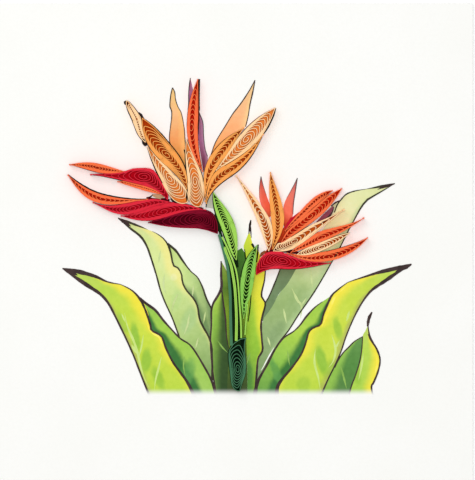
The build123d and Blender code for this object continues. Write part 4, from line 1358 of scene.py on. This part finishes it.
# Shades behind the coils, between two edges in pixels, and short dark lines between them
shades = [
    ("rust", [(290, 217), (283, 227), (273, 241), (263, 253)],
     [(297, 216), (300, 230), (298, 244), (267, 254)]),
    ("sage", [(340.3, 199.7), (334.9, 202.2), (330.6, 205.8), (325.5, 212.5)],
     [(340.3, 199.7), (337.1, 204.4), (334.2, 210.1), (331.9, 216.5)]),
    ("mist", [(212.5, 187), (208.6, 194), (206.2, 201), (205.6, 207)],
     [(213, 189.5), (213.4, 196), (214.2, 202.5), (215.5, 208.5)]),
]
plum_left = [(332.8, 205), (329, 208.2), (322.5, 214), (315.5, 221.5)]
plum_right = [(333, 206.9), (330.6, 212.2), (326.7, 217.2), (319.5, 223.5)]
shadow_lines = [
    ([(124.6, 100.4), (125.6, 102.5), (127.4, 104.5)], [0.8, 1.4, 0.5], "black"),
    ([(142, 138), (143.6, 141.4), (145.6, 145.4)], [0.5, 1.6, 0.8], "black"),
    ([(138, 112), (140.5, 115), (143, 118)], [0.5, 1, 0.5], "black"),
    ([(183.5, 149), (186.5, 160), (187.8, 174), (187.6, 192)], [0.3, 0.7, 0.9, 0.5], "black"),
    ([(198.6, 78.5), (198.2, 96), (198.6, 110)], [0.7, 0.7, 0.5], "black"),
    ([(151.5, 194.5), (157, 195.8), (163, 197.4)], [0.5, 1.8, 0.9], "tan"),
    ([(160.5, 198.2), (165, 199.2), (169, 200.4)], [0.3, 1.2, 0.9], "wine"),
    ([(146, 197.6), (149.6, 196.6), (152.4, 194)], [0.6, 0.5, 0.2], "black"),
    ([(146, 197.2), (156, 198.6), (168, 201)], [0.4, 0.35, 0.3], "wine"),
    ([(250.2, 219.5), (249.6, 226), (249, 231)], [0.3, 0.45, 0.4], "black"),
    ([(250, 226), (250.4, 233), (250.8, 237.5)], [0.4, 0.4, 0.15], "black"),
    ([(214.6, 213), (217.6, 223), (221, 237)], [0.5, 1.1, 0.9], "pine"),
    ([(223.5, 234), (229.5, 246), (234.5, 257), (237, 267)], [0.8, 1.5, 1.5, 0.8], "pine"),
    ([(251.2, 243.2), (252.6, 245.4), (253.6, 247.6)], [0.6, 0.8, 0.4], "pine"),
    ([(257.6, 244), (257.2, 253), (256, 262)], [0.4, 0.5, 0.4], "pine"),
    ([(250.6, 294.5), (249.4, 308), (247.6, 321)], [0.3, 0.4, 0.3], "pine"),
    ([(244.2, 248.5), (244.8, 256), (245.8, 261)], [0.2, 0.45, 0.3], "pine"),
    ([(340.3, 199.7), (334.9, 202.2), (330.6, 205.8)], [0.3, 0.5, 0.3], "dusk"),
    ([(333.4, 206.6), (331.4, 212.2), (327.3, 217.2), (320.5, 223.2)], [0.2, 0.5, 0.7, 0.5], "dusk"),
    ([(186, 186), (187, 194), (187.2, 201)], [0.5, 1.2, 0.8], "black"),
    ([(170, 198), (173, 200.2), (176.5, 201.8)], [0.4, 0.9, 0.4], "black"),
    ([(259, 256.6), (261.6, 253.2), (264.6, 250.4)], [0.2, 0.9, 0.5], "umber"),
    ([(169.5, 202), (185, 205), (196, 206.6), (203, 207.8)], [0.5, 1, 0.9, 0.3], "wine"),
    ([(212.5, 187), (208.6, 194), (206.2, 201), (205.6, 207)], [0.2, 0.35, 0.4, 0.3], "black"),
    ([(285, 228), (291, 220.5), (299, 212.5)], [0.8, 1.7, 0.7], "crimson"),
    ([(266, 251.5), (280, 249.5), (298, 252.5)], [0.5, 1.5, 0.8], "wine"),
]
shadow_inks = {
    "black": ("black_shadow_ink", (44, 34, 32), (26, 20, 22)),
    "brown": ("brown_shadow_ink", (112, 48, 18), (84, 30, 10)),
    "wine": ("wine_shadow_ink", (96, 6, 18), (66, 4, 14)),
    "crimson": ("crimson_line_ink", (200, 28, 58), (180, 14, 44)),
    "pine": ("pine_shadow_ink", (22, 50, 14), (12, 34, 10)),
    "tan": ("tan_shadow_ink", (206, 176, 134), (176, 142, 104)),
    "rust": ("rust_shadow_ink", (196, 66, 26), (160, 44, 16)),
    "sage": ("sage_shade_ink", (206, 208, 170), (192, 198, 152)),
    "mist": ("mist_shade_ink", (204, 206, 190), (192, 196, 176)),
    "plum": ("plum_shade_ink", (150, 72, 84), (124, 70, 92)),
    "dusk": ("dusk_line_ink", (70, 48, 52), (56, 38, 44)),
    "umber": ("umber_shade_ink", (164, 104, 66), (130, 74, 44)),
}


def rim(art, ink, name, start, stop, width):
    """A printed line with painted shadow just outside part of a coil's outline, given as shares of the way
    round from its tip.
    """
    outline = coils[name].outline()
    count = len(outline)
    line = [outline[i % count] for i in range(round(start * count), round(stop * count) + 1, 2)]
    line = offset(line, [rim_gap - width / 2] * len(line))
    art.stroke(ink, line, [width * rim_taper, width, width, width, width * rim_taper], rim_rows)


def print_shadows():
    """Painted shadow and dark print, showing as lines and fields beside the petals, between them and between
    the stem's strips.
    """
    inks = {name: plain_ink(*values) for name, values in shadow_inks.items()}
    behind = Art("flower_shade_print", "dark")
    for ink, left, right in shades:
        behind.sheet(inks[ink], points(*left), points(*right), columns=shade_columns)
    behind.make("dark_outline_print", "printed_outlines")
    art = Art("dark_shadow_print", "lines")
    art.sheet(inks["pine"], edge_line, long_line + [(1.9, -33)], columns=stem_columns)
    art.sheet(inks["plum"], points(*plum_left), points(*plum_right), columns=shade_columns)
    for ink, parts in rims.items():
        for part in parts:
            rim(art, inks[ink], *part)
    print_strokes(art, inks, in_pixels(shadow_lines), short_rows)
    art.make("dark_outline_print", "printed_outlines")


# The floor is in millimetres as the piece is, and the lamps are in metres
floor_half = 1200
floor_top = -0.2
lamps = [("overhead", (0, 0, 1.1), 0.4, 6.75), ("upper_left", (-0.45, 0.6, 0.9), 0.7, 2.6)]
world_strength = 0.36
camera_lens = 200
sensor = 36


def plain_floor():
    corners = [(x * floor_half, y * floor_half, floor_top) for x, y in ((-1, -1), (1, -1), (1, 1), (-1, 1))]
    floor = mesh_object("floor", corners, [(0, 1, 2, 3)], smooth=False)
    made, tree, shader = start_material("floor", 0.9, 0.1)[:3]
    feed(tree, shader.inputs["Base Color"], linear(floor_white))
    floor.data.materials.append(made)


def soft_light():
    for name, place, size, power in lamps:
        lamp = bpy.data.lights.new(name, "AREA")
        lamp.shape = "DISK"
        lamp.size = size
        lamp.energy = power
        holder = bpy.data.objects.new(name, lamp)
        holder.location = place
        holder.rotation_euler = (-Vector(place)).to_track_quat("-Z", "Y").to_euler()
        bpy.context.scene.collection.objects.link(holder)
    world = bpy.data.worlds.new("studio")
    bpy.context.scene.world = world
    world.use_nodes = True
    background = world.node_tree.nodes["Background"]
    background.inputs["Color"].default_value = white
    background.inputs["Strength"].default_value = world_strength


def camera_above():
    distance = photo_size[1] * px * camera_lens / sensor
    x, y = photo_point(photo_size[0] / 2, photo_size[1] / 2)
    lens = bpy.data.cameras.new("camera")
    lens.lens = camera_lens
    lens.sensor_width = sensor
    lens.clip_end = 10
    camera = bpy.data.objects.new("camera", lens)
    camera.location = (x * mm, y * mm, (card_top + distance) * mm)
    bpy.context.scene.collection.objects.link(camera)
    bpy.context.scene.camera = camera


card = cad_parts["backing_card"]
card.data.materials.clear()
card.data.materials.append(card_paper())
glue_down()
print_leaves()
print_veins()
print_outlines()
print_shadows()
plain_floor()
soft_light()
camera_above()
bpy.context.scene.view_settings.view_transform = "Standard"
